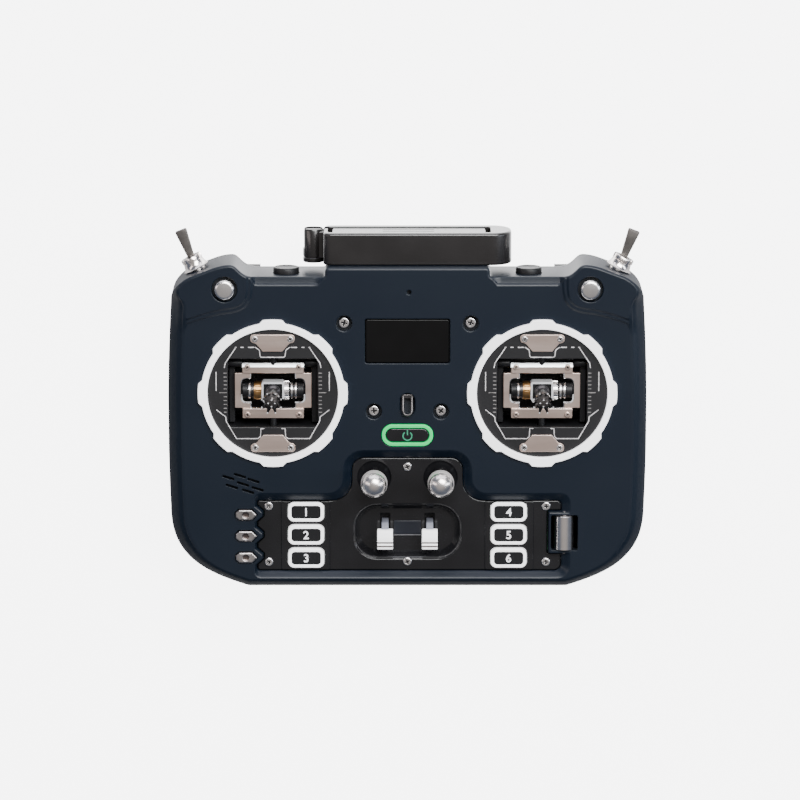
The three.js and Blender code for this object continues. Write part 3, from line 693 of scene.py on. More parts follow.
def front_case():
    b = Build()
    profiles = [edge_profile(i) for i in range(len(OUTLINE))]
    rings = [b.ring(OUTLINE, SPLIT_Z + 0.15)]
    for k in range(len(SOFT_ARC)):
        loop = inset(OUTLINE, [p[k][0] for p in profiles])
        zs = [lift(q[0], q[1], FACE_Z - p[k][1]) for q, p in zip(loop, profiles)]
        rings.append(b.ring(loop, zs))
    b.strips(rings)
    tops, bottoms = [], []

    def hole(loop, rim, steps, floor=True, mat=1, base=FACE_Z):
        top, bottom = b.sink(loop, base, rim, steps, floor, mat)
        tops.append(top)
        if bottom:
            bottoms.append(bottom)

    for _, side in SIDES:
        hole(circle(GIMBAL_X * side, GIMBAL_Y, 26.0, 96), 0.0, [(0, UNDER_Z)], floor=False)
        hole(circle(FACE_BUTTON[0] * side, FACE_BUTTON[1], 5.0, 48), 0.5,
             [(0, 40.6), (2.6, 40.6), (2.6, UNDER_Z)], floor=False,
             base=FACE_Z + PAD_RISE)
    hole(rect(0, WINDOW_Y, 33.6, 17.9, 0.9), 0.35, [(0, UNDER_Z)], floor=False)
    for x, y in FRONT_SCREWS:
        hole(circle(x, y, 3.1, 36), 0.45, [(0, 38.8)])
    hole(rect(0, POWER_Y, 20.8, 9.2, 4.59, 10), 0.25, [(0, UNDER_Z)], floor=False)
    hole(rect(0, 6.2, 5.9, 9.2, 2.9, 8), 0.5, [(0.1, 40.6), (0.5, 39.4), (1.1, 38.9)])
    hole(circle(0.6, 51.5, 0.85, 20), 0.4, [(0, 39.2)])
    for x, y in ((-71.2, -23.4), (-69.8, -27), (-66.6, -22.6), (-65.4, -26), (-63.4, -29), (-61.2, -24.6),
                 (-59.6, -28)):
        hole(spin(rect(0, 0, 5.0, 1.0, 0.4, 3), x, y, -0.3), 0.12, [(0, 39.0)])
    for y in MENU_YS:
        hole(menu_hexagon(y, 0.28), 0.15, [(0, UNDER_Z)], floor=False)
    hole(span(57.2, 67.9, -53.2, -38.8, 0.7, 4), 0.2, [(0, UNDER_Z)], floor=False)
    rows = [b.ring(inset(POCKET_OUT, -0.3), FACE_Z), b.ring(POCKET_OUT, FACE_Z - 0.12)]
    for k in range(1, 7):
        t = k / 7
        loop = [tuple(Vector(o).lerp(Vector(i), t)) for o, i in zip(POCKET_OUT, POCKET_IN)]
        rows.append(b.ring(loop, FACE_Z - 0.12 - 2.1 * smooth(t, -0.15, 1.1)))
    rows += [b.ring(POCKET_IN, PANEL_Z), b.ring(POCKET_IN, UNDER_Z)]
    b.strips(rows)
    tops.append(rows[0])
    bottoms.append(rows[-1])
    face_cap(b, rings[-1], tops, lambda x, y: lift(x, y, FACE_Z))
    inner = inset(OUTLINE, 2.4)
    inner_top, inner_low = b.ring(inner, UNDER_Z), b.ring(inner, SPLIT_Z + 0.15)
    b.strip(inner_top, inner_low)
    b.strip(inner_low, rings[0])
    b.cap(inner_top, bottoms)
    bores = Build()
    for _, side in SIDES:
        c = Build(turn_to(48 * side, 50, 31.5, "Y"))
        c.turned([(0, 0), (5.35, 0), (5.35, 15), (0, 15)], n=40)
        bores.merge(c)
        c = Build(toggle_place(side))
        c.turned([(0, -8), (3.6, -8), (3.6, 8), (0, 8)], n=40)
        bores.merge(c)
    piece(b, "case_front", "root", [NAVY, NAVY_DEEP], ["front_shell"], cutters=[bores],
          angle=32)


def rear_case():
    b = Build(BEHIND)
    loop = [(x, -y) for x, y in reversed(OUTLINE)]
    widths = [8.5 - 5.0 * smooth(-y, 44, 56) for _, y in loop]
    rings = [b.ring(loop, -SPLIT_Z), b.ring(loop, -SPLIT_Z + 0.5)]
    for share, drop in rounding(1, 8.3):
        rings.append(b.ring(inset(loop, [w * share for w in widths]), -BACK_Z - drop))
    b.strips(rings)
    tops, bay_mouth = [], span(-33.8, 33.8, 17.6, 58, 2, 4)
    for _, side in SIDES:
        top, _ = b.sink(span(SLIDER_X * side - 3.0, SLIDER_X * side + 3.0, -50.8, -33, 0.8), -BACK_Z, 0.3,
                        [(0, -14)], mat=1)
        tops.append(top)
    for x, y in BACK_SCREWS:
        top, _ = b.sink(circle(x, y, 2.6, 28), -BACK_Z, 0.3, [(0, -13)], mat=1)
        tops.append(top)
    door_hole = b.ring(bay_mouth, -BACK_Z)
    tops.append(door_hole)
    b.cap(rings[-1], tops)
    inner = inset(loop, 2.4)
    deep = inset(loop, [w + 1.2 for w in widths])
    rows = [b.ring(inner, -SPLIT_Z), b.ring(inner, -SPLIT_Z + 0.5), b.ring(deep, -BACK_Z - 3.4)]
    b.strips(rows)
    b.strip(rings[0], rows[0])
    under = b.ring(bay_mouth, -BACK_Z - 3.4)
    b.strip(door_hole, under)
    b.cap(rows[-1], [under])
    bay = Build(BEHIND)
    rails = fillet([(-38, 62), (-38, 13.5), (38, 13.5), (38, 62), (36.25, 62), (36.25, 15.75),
                    (-36.25, 15.75),
                    (-36.25, 62)], [0.3, 4, 4, 0.3, 0.2, 1, 1, 0.2], 5)
    bay.moulded(mirror(rails), -3.2, -0.6, 0.6)
    bay.moulded(span(-38, 38, 13.5, 62, 4), -12.5, -3.0, 0.3,
                holes=[dict(loop=bay_mouth, rim=0.3, steps=[(0, -12.4)], mat=1)])
    b.merge(bay)
    port = Build(turn_to(0, -70, PORT_Z, "Y"))
    port.moulded(rect(0, 0, 9.4, 3.6, 1.75, 6), -4, 6, 0)
    piece(b, "case_back", "root", [NAVY, NAVY_DEEP], ["rear_shell"], angle=32, cutters=[port])
    socket = Build(turn_to(0, -68.5, PORT_Z, "Y"))
    socket.moulded(rect(0, 0, 9.2, 3.4, 1.65, 6), 0.25, 6.0, 0.15,
                   holes=[dict(loop=rect(0, 0, 8.5, 2.7, 1.3, 6), rim=0.1, steps=[(0, 0.6)], mat=1)])
    socket.moulded(rect(0, 0, 6.6, 0.7, 0.2, 3), 0.7, 5.2, 0.1, mat=1)
    piece(socket, "charging_socket", "root", [SILVER, SATIN])
    screws = Build(BEHIND)
    for x, y in BACK_SCREWS:
        screw(screws, x, y, -12.8, -11.6, 2.0)
    piece(screws, "case_back_screws", "root", [DARK_METAL, SATIN])
    for name, side in SIDES:
        g = Build(BEHIND)
        grooves = [dict(loop=rect(GRIP_X * side, 15 + k * 9.0, 21, 2.0, 0.95, 4), rim=0.5,
                        steps=[(0.1, -1.1)])
                   for k in range(-3, 4)]
        g.moulded(rect(GRIP_X * side, 15, 38, 84, 16, 14), -15.5, 0, 7.2, arc=SOFT_ARC, holes=grooves)
        piece(g, f"{name}_grip", "root", [RUBBER])
    d = Build(BEHIND)
    ribs = [dict(loop=rect(0, 27 + k * 2.4, 24 - 3 * k, 1.1, 0.5, 4), rim=0.2, steps=[(0.1, -1.4)], mat=1)
            for k in range(5)]
    d.moulded(span(-36, 36, 16, 62, 1.5), -2.6, -0.7, 0.5, 0.2, holes=ribs)
    piece(d, "battery_cover", "battery_door_body", [NAVY, NAVY_DEEP], ["battery_door"])


def cross_loop(x, y, r, w):
    arm = [(r, -w), (r, w), (w, w), (w, r), (-w, r), (-w, w), (-r, w), (-r, -w), (-w, -w), (-w, -r),
           (w, -r), (w, -w)]
    return fillet([(x + px, y + py) for px, py in arm], 0.06, 1)


def screw(b, x, y, z0, z1, r, mats=(0, 1), angle=0.3):
    cross = spin(cross_loop(0, 0, r * 0.52, r * 0.13), x, y, angle)
    b.moulded(circle(x, y, r, 28), z0, z1, r * 0.32, mat=mats[0],
              holes=[dict(loop=cross, rim=0.04, steps=[(0, z1 - r * 0.35)], mat=mats[1], rim_mat=mats[0])])


# ---------- the lower panel ----------
def lower_panel():
    b = Build()
    outline = inset(POCKET_IN, 0.25)
    holes = []
    scoop = rect(0, -46, 43, 22.4, 9.6, 12)
    slots = [span(LEVER_X * side - 2.1, LEVER_X * side + 2.1, -49.2, -39.3, 0.5, 3) for _, side in SIDES]
    holes.append(dict(loop=scoop, rim=0.5, steps=[(0.5, PANEL_Z - 0.8), (1.2, PANEL_Z - 1.9),
                                                  (2.0, PANEL_Z - 3.2),
                                                 (2.7, PANEL_Z - 4.3)], slots=slots, skin=1.2))
    for _, side in SIDES:
        holes.append(dict(loop=circle(KNOB_X * side, KNOB_Y, 6.4, 48), rim=0.5,
                          steps=[(0.3, PANEL_Z - 0.6), (1.6, PANEL_Z - 0.9), (2.9, PANEL_Z - 0.95),
                                 (2.9, PANEL_Z - 3)], floor=False))
        for y in KEY_YS:
            holes.append((rect(KEY_X * side, y, 14.9, 8.4, 2.7), 0.2))
    b.moulded(outline, PANEL_Z - 3, PANEL_Z, 0.5, holes=holes)
    for _, side in SIDES:
        x = 40.6 * side
        keys = [(rect(KEY_X * side, y, 15.0, 8.5, 2.75), 0.15) for y in KEY_YS]
        b.moulded(span(x - 9.8, x + 9.8, -61.6, -33.5, 0.8, 4), PANEL_Z - 0.3, PANEL_Z + 0.38, 0.38,
                  holes=keys)
        b.turned([(0, PANEL_Z - 0.3), (0.9, PANEL_Z - 0.3), (0.9, PANEL_Z), (0.6, PANEL_Z + 0.35),
                  (0, PANEL_Z + 0.45)], 33.6 * side, -34.3, n=16)
    b.moulded(span(-5.5, 5.5, -48.0, -42.4, 0.5, 3), PANEL_Z - 4.4, PANEL_Z - 3.9, 0.3, mat=1)
    # A thin lighter strip at the plate's lower edge in the scoop: a painted crease highlight.
    b.moulded(span(-5.5, 5.5, -48.6, -48.1, 0.1, 2), PANEL_Z - 4.4, PANEL_Z - 3.8, 0.15, mat=2)
    piece(b, "front_panel", "root", [GLOSS, PANEL_BLUE, PANEL_CREASE_HIGHLIGHT], ["control_panel"],
          angle=32)
    s = Build()
    for x, y in PANEL_SCREWS:
        screw(s, x, y, PANEL_Z - 0.2, PANEL_Z + 0.75, 1.8, angle=0.4 + x * 0.05)
    piece(s, "panel_screws", "root", [SILVER, SATIN])


def digit(number, x, y, z, size, body, name):
    curve = bpy.data.curves.new(name, "FONT")
    curve.body = str(number)
    curve.size = size * MM
    curve.align_x, curve.align_y = "CENTER", "CENTER"
    curve.extrude = 0.12 * MM
    curve.offset = 0.09 * MM
    curve.resolution_u = 4
    holder = link(bpy.data.objects.new("holder", curve))
    mesh = evaluated_mesh(holder)
    bpy.data.objects.remove(holder)
    bm = bmesh.new()
    bm.from_mesh(mesh)
    bmesh.ops.remove_doubles(bm, verts=bm.verts, dist=1e-6)
    mid = [(min(v.co[k] for v in bm.verts) + max(v.co[k] for v in bm.verts)) / 2 for k in (0, 1)]
    bm.transform(Matrix.Translation((x * MM - mid[0], (y + ROW_Y) * MM - mid[1], z * MM)))
    bm.to_mesh(mesh)
    bm.free()
    obj = link(bpy.data.objects.new(name, mesh))
    mesh.materials.clear()
    mesh.materials.append(LABEL_GLOW)
    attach(obj, body)


def keys():
    number = 1
    for _, side in SIDES:
        for y in KEY_YS:
            b = Build()
            x = KEY_X * side
            b.moulded(rect(x, y, 14.3, 7.8, 2.4, 8), 35.5, 41.1, 0.4, mat=0,
                      holes=[dict(loop=rect(x, y, 11.7, 5.2, 1.3, 6), rim=0.12, steps=[(0, 40.75)], mat=1)])
            body = f"mode_key_{number}_body"
            piece(b, f"mode_key_{number}_cap", body, [WHITE_GLOW, SATIN], [f"mode_key_{number}"])
            digit(number, x, y, 40.85, 4.6, body, f"mode_key_{number}_digit")
            number += 1
    for i, y in enumerate(MENU_YS):
        b = Build()
        # The dish in each key is darker metal: a painted dark reflection across its middle.
        b.moulded(menu_hexagon(y), 36, 43.0, 0.55, arc=SOFT_ARC,
                  holes=[dict(loop=rect(-64.4, y, 2.6, 2.3, 1.0, 5), rim=0.25,
                              steps=[(0.25, 42.62), (0.55, 42.52), (0.85, 42.5)], mat=1)])
        piece(b, f"menu_key_{i + 1}_cap", f"menu_key_{i + 1}_body", [MENU_METAL, MENU_DARK_REFLECTION],
              [f"menu_key_{i + 1}"])
    b = Build()
    outer, inner = rect(0, POWER_Y, 20.4, 8.8, 4.39, 12), rect(0, POWER_Y, 17.5, 5.9, 2.94, 12)
    b.moulded(outer, 39, 42.5, 0.35, holes=[(inner, 0.3)])
    piece(b, "power_light_ring", "root", [GREEN], ["power_ring"])
    b = Build()
    b.moulded(rect(0, POWER_Y, 17.0, 5.4, 2.69, 12), 37, 42.3, 0.5)
    piece(b, "power_button", "power_key_body", [GLOSS], ["power_key"])
    b = Build()
    arc = arc_points((0, -6.3), 1.75, math.radians(128), math.radians(412), 28)
    b.ribbon(arc, 0.5, 42.2, 42.36)
    b.ribbon([(0, -6.0), (0, -3.9)], 0.5, 42.2, 42.36)
    piece(b, "power_symbol", "power_key_body", [DIM_GREEN])


def display():
    b = Build()
    b.moulded(rect(0, WINDOW_Y, 32.8, 17.1, 0.7), 39.4, 41.75, 0.25)
    piece(b, "window_glass", "root", [GLASS], ["display_window"])
    s = Build()
    for x, y in FRONT_SCREWS:
        screw(s, x, y, 38.7, 40.6, 2.3, angle=0.5 + 0.03 * x)
    piece(s, "front_screws", "root", [SILVER, SATIN],
          [f"case_screw_{k}" for k in (1, 2, 3, 4)])
    h = Build()
    corners = [(-1.75, 9.6, 41.0), (-1.75, 7.0, 42.0), (-1.75, 4.2, 43.0), (-1.45, 2.9, 43.3),
               (-0.7, 2.35, 43.45),
               (0.7, 2.35, 43.45), (1.45, 2.9, 43.3), (1.75, 4.2, 43.0), (1.75, 7.0, 42.0),
               (1.75, 9.6, 41.0)]
    h.tube(corners, 0.55, 16)
    h.moulded(span(-2.6, 2.6, 8.6, 10.4, 0.6), 39.2, 41.6, 0.4)
    piece(h, "strap_loop", "root", [DARK_METAL], ["strap_hook"], angle=60)


# ---------- gimbals ----------
def gimbal(name, side):
    ox, oy = GIMBAL_X * side, GIMBAL_Y
    here = turn_to(ox, oy, 0)
    outline = []
    for i in range(8):
        mid = i * math.pi / 4
        for a, r in ((-0.185, 28.45), (-0.13, 29.7), (-0.065, 29.7), (0, 29.7), (0.065, 29.7), (0.13, 29.7),
                     (0.185, 28.45)):
            outline.append((r * math.cos(mid + a), r * math.sin(mid + a)))
        for k in range(1, 6):
            a = 0.185 + (math.pi / 4 - 0.37) * k / 6
            outline.append((28.45 * math.cos(mid + a), 28.45 * math.sin(mid + a)))
    b = Build(here)
    b.moulded(outline, 41.9, 43.8, 0.45, holes=[(circle(0, 0, 25.9, 96), 0.35)])
    piece(b, f"{name}_gimbal_trim", "root", [WHITE_GLOW], [f"{name}_gimbal_ring"], angle=30)

    b = Build(here)
    b.moulded(circle(0, 0, 25.75, 96), 39.5, 42.2, 0.2, holes=[(rect(0, 0, 35.5, 27.6, 0.9), 0.3)])
    piece(b, f"{name}_gimbal_face", "root", [PLATE_BLACK], [f"{name}_gimbal_plate"])

    b = Build(here)
    quarter = [(-14.5, 18.5), (-18.7, 12.2), (-19.1, 10.2)]
    flank = [(-22.4, -6.7), (-18.7, -9.6), (-18.5, -11.4), (-14.5, -18.4), (-5.9, -18.4),
             (-5.0, -17.6), (-4.8, -14.4), (-3.4, -14.3)]
    detour = fillet([(-6.9, 18.6), (-5.2, 17.4), (-4.9, 14.5), (4.9, 14.5), (5.2, 17.4), (6.9, 18.6)], 0.8,
                    3, False)
    b.ribbon(detour, 0.34, *PRINT_Z)
    for s in (1, -1):
        for x0, x1 in ((14.9, 14.2), (12.6, 11.4), (9.7, 7.2)):
            b.ribbon([(s * x0, 18.5), (s * x1, 18.5)], 0.4, *PRINT_Z)
        b.ribbon([(x * s, y) for x, y in quarter], 0.34, *PRINT_Z)
        b.ribbon([(x * s, y) for x, y in flank], 0.34, *PRINT_Z)
        b.ribbon([(22.4 * s, 8.6), (22.4 * s, 0.9)], 0.34, *PRINT_Z)
    piece(b, f"{name}_gimbal_lines", "root", [LINE])

    b = Build(here)
    for s in (1, -1):
        for k in range(-5, 6):
            y = 0.2 + k * 1.58
            b.ribbon([(s * 18.15, y), (s * (21.2 if k == 0 else 19.45), y)], 0.34, *PRINT_Z)
    piece(b, f"{name}_gimbal_ticks", "root", [TICK])

    b = Build(here)
    tee = [(-8.8, 20.6), (-8.8, 23.7), (8.8, 23.7), (8.8, 20.6), (6.6, 20.0), (3.9, 16.8), (-3.9, 16.8),
           (-6.6, 20.0)]
    tee = fillet(tee[::-1], [1.2, 0.5, 0.5, 1.2, 1.4, 1.4, 1.4, 1.4], 5)
    for flip in (1, -1):
        loop = tee if flip == 1 else [(-x, -y) for x, y in tee]
        b.moulded(loop, 42.0, 42.9, 0.22)
        for s in (1, -1):
            screw(b, s * 7.0, 21.9 * flip, 42.8, 43.35, 1.25, mats=(1, 2), angle=0.5 * s)
    piece(b, f"{name}_gimbal_anchors", "root", [STEEL, SILVER, SATIN])

    cad_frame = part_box(f"{name}_gimbal_frame")
    floor = cad_frame[0].z / MM + 2.0
    b = Build(here)
    for s in (1, -1):
        arm = Build(turn_to(ox + s * 15.2, oy + 11.1, 36.4, "X"))
        arm.turned([(0, -2.6), (1.5, -2.6), (1.6, -2.4), (1.6, 2.4), (1.5, 2.6), (0, 2.6)], n=24)
        b.merge(arm)
        b.moulded(span(s * 16.4 - 1.2, s * 16.4 + 1.2, -13.4, 13.4, 0.4, 3), 31.5, 34.6, 0.3)
    b.moulded(rect(0, 0, 33, 25, 1.0, 3), floor - 0.1, floor + 3, 0.6,
              holes=[dict(loop=circle(0, 0, 8, 32), rim=0.5, steps=[(0, floor + 1)])])
    piece(b, f"{name}_gimbal_rods", "root", [SATIN])

    body = f"{name}_yoke_body"
    b = Build(here)
    cross = fillet([(-15.3, -7.1), (-12.3, -7.1), (-12.3, -11), (12.3, -11), (12.3, -7.1), (15.3, -7.1),
                    (15.3, 7.1),
                    (12.3, 7.1), (12.3, 11), (-12.3, 11), (-12.3, 7.1), (-15.3, 7.1)], 0.35, 3)
    window = fillet([(-12.4, -4.65), (-8.6, -4.65), (-8.6, -6.9), (8.6, -6.9), (8.6, -4.65), (12.4, -4.65),
                     (12.4, 4.65), (8.6, 4.65), (8.6, 6.9), (-8.6, 6.9), (-8.6, 4.65), (-12.4, 4.65)],
                    [1.6, 0.3, 0.3, 0.3, 0.3, 1.6] * 2, 4)
    b.moulded(cross, 35.0, 37.2, 0.25, holes=[dict(loop=window, rim=0.55, steps=[(0, 35.0)], floor=False,
                                                   mat=1,
                                                   rim_mat=1)])
    for s in (1, -1):
        low, high = (7.15, 9.9) if s == 1 else (-11.1, -7.15)
        b.moulded(span(-12.2, 12.2, low, high, 0.4, 3), 37.0, 38.0, 0.22)
        for t in (1, -1):
            screw(b, t * 10.2, s * 9.6, 37.3, 38.6, 1.2, mats=(0, 2), angle=0.4 * t)
    # The top bar's chamfer is real, but its near-white material is a painted highlight.
    wedge = Build(turn_to(ox, oy, 0, "X"))
    wedge.moulded([(9.7, 37.6), (11.25, 36.9), (11.25, 37.45), (9.7, 38.15)], -12.3, 12.3, 0.1, 0.1, mat=3)
    b.merge(wedge)
    # White lines along the lower edges of the yoke window: painted highlight.
    for s in (1, -1):
        b.ribbon([(s * 8.7, -4.75), (s * 11.0, -4.75), *arc_points((s * 11.0, -3.35), 1.4, -math.pi / 2,
                  -math.pi / 2 + s * math.pi / 2, 5), (s * 12.45, -1.5)], 0.5, 36.9, 37.26, mat=3)
    pins = Build(turn_to(ox, oy, 36.5, "Y"))
    for y0, y1 in ((-17.4, -10), (10, 17.4)):
        pins.turned([(0, y0), (1.35, y0), (1.35, y1), (0, y1)], n=20, mat=2)
    b.merge(pins)
    piece(b, f"{name}_tilt_yoke", body, [STEEL, SILVER, SATIN, PAINTED_HIGHLIGHT],
          [f"{name}_gimbal_yoke"])
    stick(name, ox, oy)


def stick(name, ox, oy):
    body = f"{name}_stick_body"
    b = Build(turn_to(ox, oy, 0))
    b.moulded(rect(0, 0, 7.6, 7.6, 0.8, 4), 32.6, 39.6, 0.5, mat=2)
    hub = Build(turn_to(ox, oy, 36.5, "X"))

    def drum(x0, x1, r, mat, wave=None, n=36):
        hub.turned([(0, x0), (r - 0.2, x0), (r, x0 + 0.2), (r, x1 - 0.2), (r - 0.2, x1), (0, x1)], n=n,
                   mat=mat,
                   wave=wave)

    for row in ((-12.3, 12.3, 1.05, 2), (-12.2, -9.7, 3.0, 2), (-9.8, -8.8, 3.4, 4), (-8.9, -8.2, 2.9, 1),
                (-8.3, -7.5, 3.3, 1), (-7.6, -4.4, 3.7, 3)):
        drum(*row)
    drum(-7.0, -4.9, 3.78, 3, wave=lambda a, k: 1 + 0.012 * math.cos(24 * a), n=96)
    drum(4.0, 6.4, 3.7, 4, wave=lambda a, k: 1 + 0.04 * (1 if math.cos(20 * a) > 0 else -1), n=160)
    for row in ((6.3, 7.1, 2.6, 2), (7.0, 7.9, 3.5, 4), (7.8, 8.7, 3.0, 1), (8.6, 9.5, 3.4, 4),
                (9.4, 12.2, 3.0, 2)):
        drum(*row)
    b.merge(hub)
    # A white U-shaped line round the stick block: painted highlight.
    b.ribbon([(-3.2, -4.0), (-4.1, -2.6), (-4.1, 3.4), (-3.7, 3.8), (3.7, 3.8), (4.1, 3.4), (4.1, -2.6)],
             0.75,
             35.0, 40.9, mat=5)
    b.turned([(0, 39), (3.0, 39), (3.0, 40.4), (2.3, 41.0), (1.9, 41.4), (1.9, 50.8), (2.4, 51.4),
              (2.9, 52.2),
              (2.9, 57.2), (2.6, 57.8), (1.2, 58.1), (0, 58.1)], n=72,
             wave=lambda a, k: 1 + (0.045 * math.cos(18 * a) if 6 < k < 10 else 0), mat=1)
    spikes = [(2.7, 1.4, 0.8, k * math.pi / 4 + math.pi / 8, 6) for k in range(8)]
    spikes += [(1.15, 0.15, 0.66, k * math.pi / 2, 0) for k in range(4)]
    for r, lean, w, a, mat in spikes:
        turns = [a + j * math.pi / 2 for j in range(4)]
        base = [(r * math.cos(a) + w * math.cos(q), r * math.sin(a) + w * math.sin(q), 57.4) for q in turns]
        tip = [((r + lean) * math.cos(a) + 0.34 * math.cos(q),
                (r + lean) * math.sin(a) + 0.34 * math.sin(q), 61.6)
               for q in turns]
        low, high = b.points(base), b.points(tip)
        b.strip(low, high, mat)
        b.bm.faces.new(low).material_index = mat
        # The flat tip of each spike is painted highlight white.
        b.bm.faces.new(high).material_index = 5
    piece(b, f"{name}_control_stick", body, [CHROME, DARK_METAL, SATIN, BRONZE, SILVER,
                                                              PAINTED_HIGHLIGHT, GLOSS],
          [f"{name}_stick"])


# ---------- switches, knobs and buttons ----------
def small_controls(name, side):
    b = Build()
    b.turned([(0, 33), (1.4, 33), (2.9, 36), (2.9, 40.2), (4.2, 40.3), (4.3, 40.6), (4.3, 48.4), (4.0, 48.9),
              (0, 48.95)], KNOB_X * side, KNOB_Y, n=64, mat=1)
    dome = [(0, 48.9), (5.0, 48.95), (5.25, 49.4), (5.3, 49.9), (5.3, 51.0), (5.12, 51.2), (5.12, 51.5),
            (5.3, 51.7)]
    dome += [(5.3 * math.cos(math.radians(a)),
              51.9 + 5.1 * math.sin(math.radians(a))) for a in range(0, 90, 7)]
    b.turned([*dome, (0, 57.0)], KNOB_X * side, KNOB_Y, n=64,
             mats=[2 if k < 11 else 0 for k in range(len(dome))])
    piece(b, f"{name}_dome_knob", f"{name}_knob_body", [KNOB, GLOSS, KNOB_RIM],
          [f"{name}_knob"],
          angle=50)

    x = LEVER_X * side
    b = Build(turn_to(0, 0, 0, "X"))
    cap = [(-52.4, 40.6), (-51.8, 40.2), (-45, 40.2), (-44.5, 40.8), (-44.5, 43.5), (-45, 44.2),
           (-47.4, 44.7),
           (-49.1, 44.7), (-49.2, 43.5), (-49.8, 43.5), (-49.9, 44.65), (-50.6, 44.6), (-50.7, 43.4),
           (-51.3, 43.4), (-51.4, 44.5), (-51.9, 44.3), (-52.4, 43.6)]
    radii = [0.3, 0.3, 0.3, 0.3, 0.6, 0.6, 0.6, 0.12, 0.1, 0.1, 0.12, 0.12, 0.1, 0.1, 0.12, 0.4, 0.5]
    b.moulded(fillet(cap, radii, 3), x - 3.1, x + 3.1, 0.4, 0.4)
    # Dark strips laid in the lever's grooves: painted shade.
    for y in (-49.5, -51.0):
        b.moulded(span(y - 0.33, y + 0.33, 42.9, 44.3), x - 3.05, x + 3.05, 0, mat=2)
    b.moulded(fillet([(-46, 31), (-42.2, 31), (-42.0, 40.8), (-43.4, 42.4), (-46.4, 42.0)], 0.3, 3),
              x - 1.4, x + 1.4,
              0.3, 0.3, mat=1)
    piece(b, f"{name}_lever_cap", f"{name}_lever_body", [WHITE_GLOW, LEVER_GREY, GROOVE_SHADE],
          [f"{name}_lever"])

    b = Build()
    b.turned([(0, 35), (2, 35), (2, 42), (3.7, 42), (4.0, 42.3), (4.05, 44.0), (3.85, 44.7), (3.3, 45.1),
              (2.6, 45.25), (0, 45.3)], FACE_BUTTON[0] * side, FACE_BUTTON[1], n=48)
    piece(b, f"{name}_button_cap", f"{name}_face_button_body", [SILVER],
          [f"{name}_face_button"],
          angle=50)

    b = Build(turn_to(48 * side, 57.6, 31.5, "Y"))
    b.turned([(0, -6), (2, -6), (2, -1.4), (5.0, -1.4), (5.15, -1.2), (5.15, 1.9), (4.95, 2.25), (4.6, 2.35),
              (4.4, 2.2), (0, 2.1)], n=56)
    piece(b, f"{name}_shoulder_disc", f"{name}_shoulder_button_body", [SATIN],
          [f"{name}_shoulder_button"], angle=50)

    x = SLIDER_X * side
    b = Build(turn_to(0, 0, 0, "X"))
    head = fillet([(46, 9.6), (46, 5.2), (47, 4.4), (55.4, 4.4), (56.3, 5.2), (56.3, 9.6)],
                  [0.2, 0.4, 0.6, 0.8, 0.6,
                                                                                          0.3], 3)
    b.moulded(mirror([(-p, q) for p, q in head]), x - 2.4, x + 2.4, 0.35, 0.35)
    b.moulded(span(45.6, 49.8, 8, 16, 0.3, 3), x - 1.8, x + 1.8, 0.2, 0.2)
    piece(b, f"{name}_slider_tab", f"{name}_rear_slider_body", [SATIN],
          [f"{name}_rear_slider"])


def toggle(name, side):
    at = toggle_place(side)
    b = Build(at)
    b.turned([(0, -5), (3.3, -5), (3.3, 0.3), (3.0, 0.5)], n=48)
    b.turned([(3.0, 0.3), (5.2, 0.4), (5.3, 0.7), (4.9, 1.0), (4.45, 1.6), (4.15, 2.6), (4.05, 3.3),
              (3.0, 3.3)], n=64)
    b.turned([(3.0, 3.2), (3.7, 3.3), (3.7, 3.6), (4.0, 3.7), (4.05, 5.2), (3.85, 5.5), (2.6, 5.6),
              (2.2, 5.5), (2.1, 4.2),
              (2.1, 2.6), (0, 2.6)], n=120,
             wave=lambda a, k: 1 + (0.045 * (1 if math.cos(12 * a) > -0.2 else -1) if 3 <= k < 6 else 0))
    switch_box = Build(at)
    switch_box.moulded(rect(0, 0, 8.4, 8.4, 0.6, 3), -13, -4.2, 0.4, 0.2, mat=1)
    b.merge(switch_box)
    piece(b, f"{name}_toggle_bushing", "root", [CHROME, SATIN], [f"{name}_toggle_body"],
          angle=40)
    pivot = at @ Matrix.Translation((0, 0, 3.6))
    local = turn_to(0, 0, 0, "Y", -TOGGLE_TURN * side + TOGGLE_LEAN * side)
    place = Matrix.Translation(pivot.to_translation()) @ local
    b = Build(place)
    rows = []
    for t in (0.0, 0.03, 0.15, 0.4, 0.7, 0.93, 0.98, 1.0):
        w = 1.35 + 1.05 * t - (0.35 if t == 1.0 else 0.1 if t == 0.98 else 0)
        d = 1.05 + 0.15 * t - (0.3 if t == 1.0 else 0.08 if t == 0.98 else 0)
        rows.append(b.ring(rect(0, 0, 2 * w, 2 * d, 0.35, 3), 2.0 + 11.2 * t))
    b.strips(rows)
    b.cap(rows[0])
    b.cap(rows[-1])
    b.turned([(0, -1), (1.1, -1), (1.15, 2.0), (1.0, 3.4), (0, 3.4)], n=24)
    ball = [(1.75 * math.cos(math.radians(a)),
             0.9 + 1.5 * math.sin(math.radians(a))) for a in range(-75, 76, 15)]
    b.turned([(0, -0.6), *ball, (0, 2.4)], n=28)
    piece(b, f"{name}_toggle_paddle", f"{name}_toggle_lever_body", [TOGGLE_STEEL],
          [f"{name}_toggle_lever"],
          angle=30)


def roller():
    b = Build(turn_to(62.5, -46, 39.9, "Y"))
    b.turned([(0, -8.6), (1.0, -8.6), (1.0, -6.95), (3.5, -6.95), (3.8, -6.7), (3.8, 6.7), (3.5, 6.95),
              (1.0, 6.95),
              (1.0, 8.6), (0, 8.6)], n=64)
    piece(b, "roller_barrel", "roller_body", [CHROME], ["roller"])


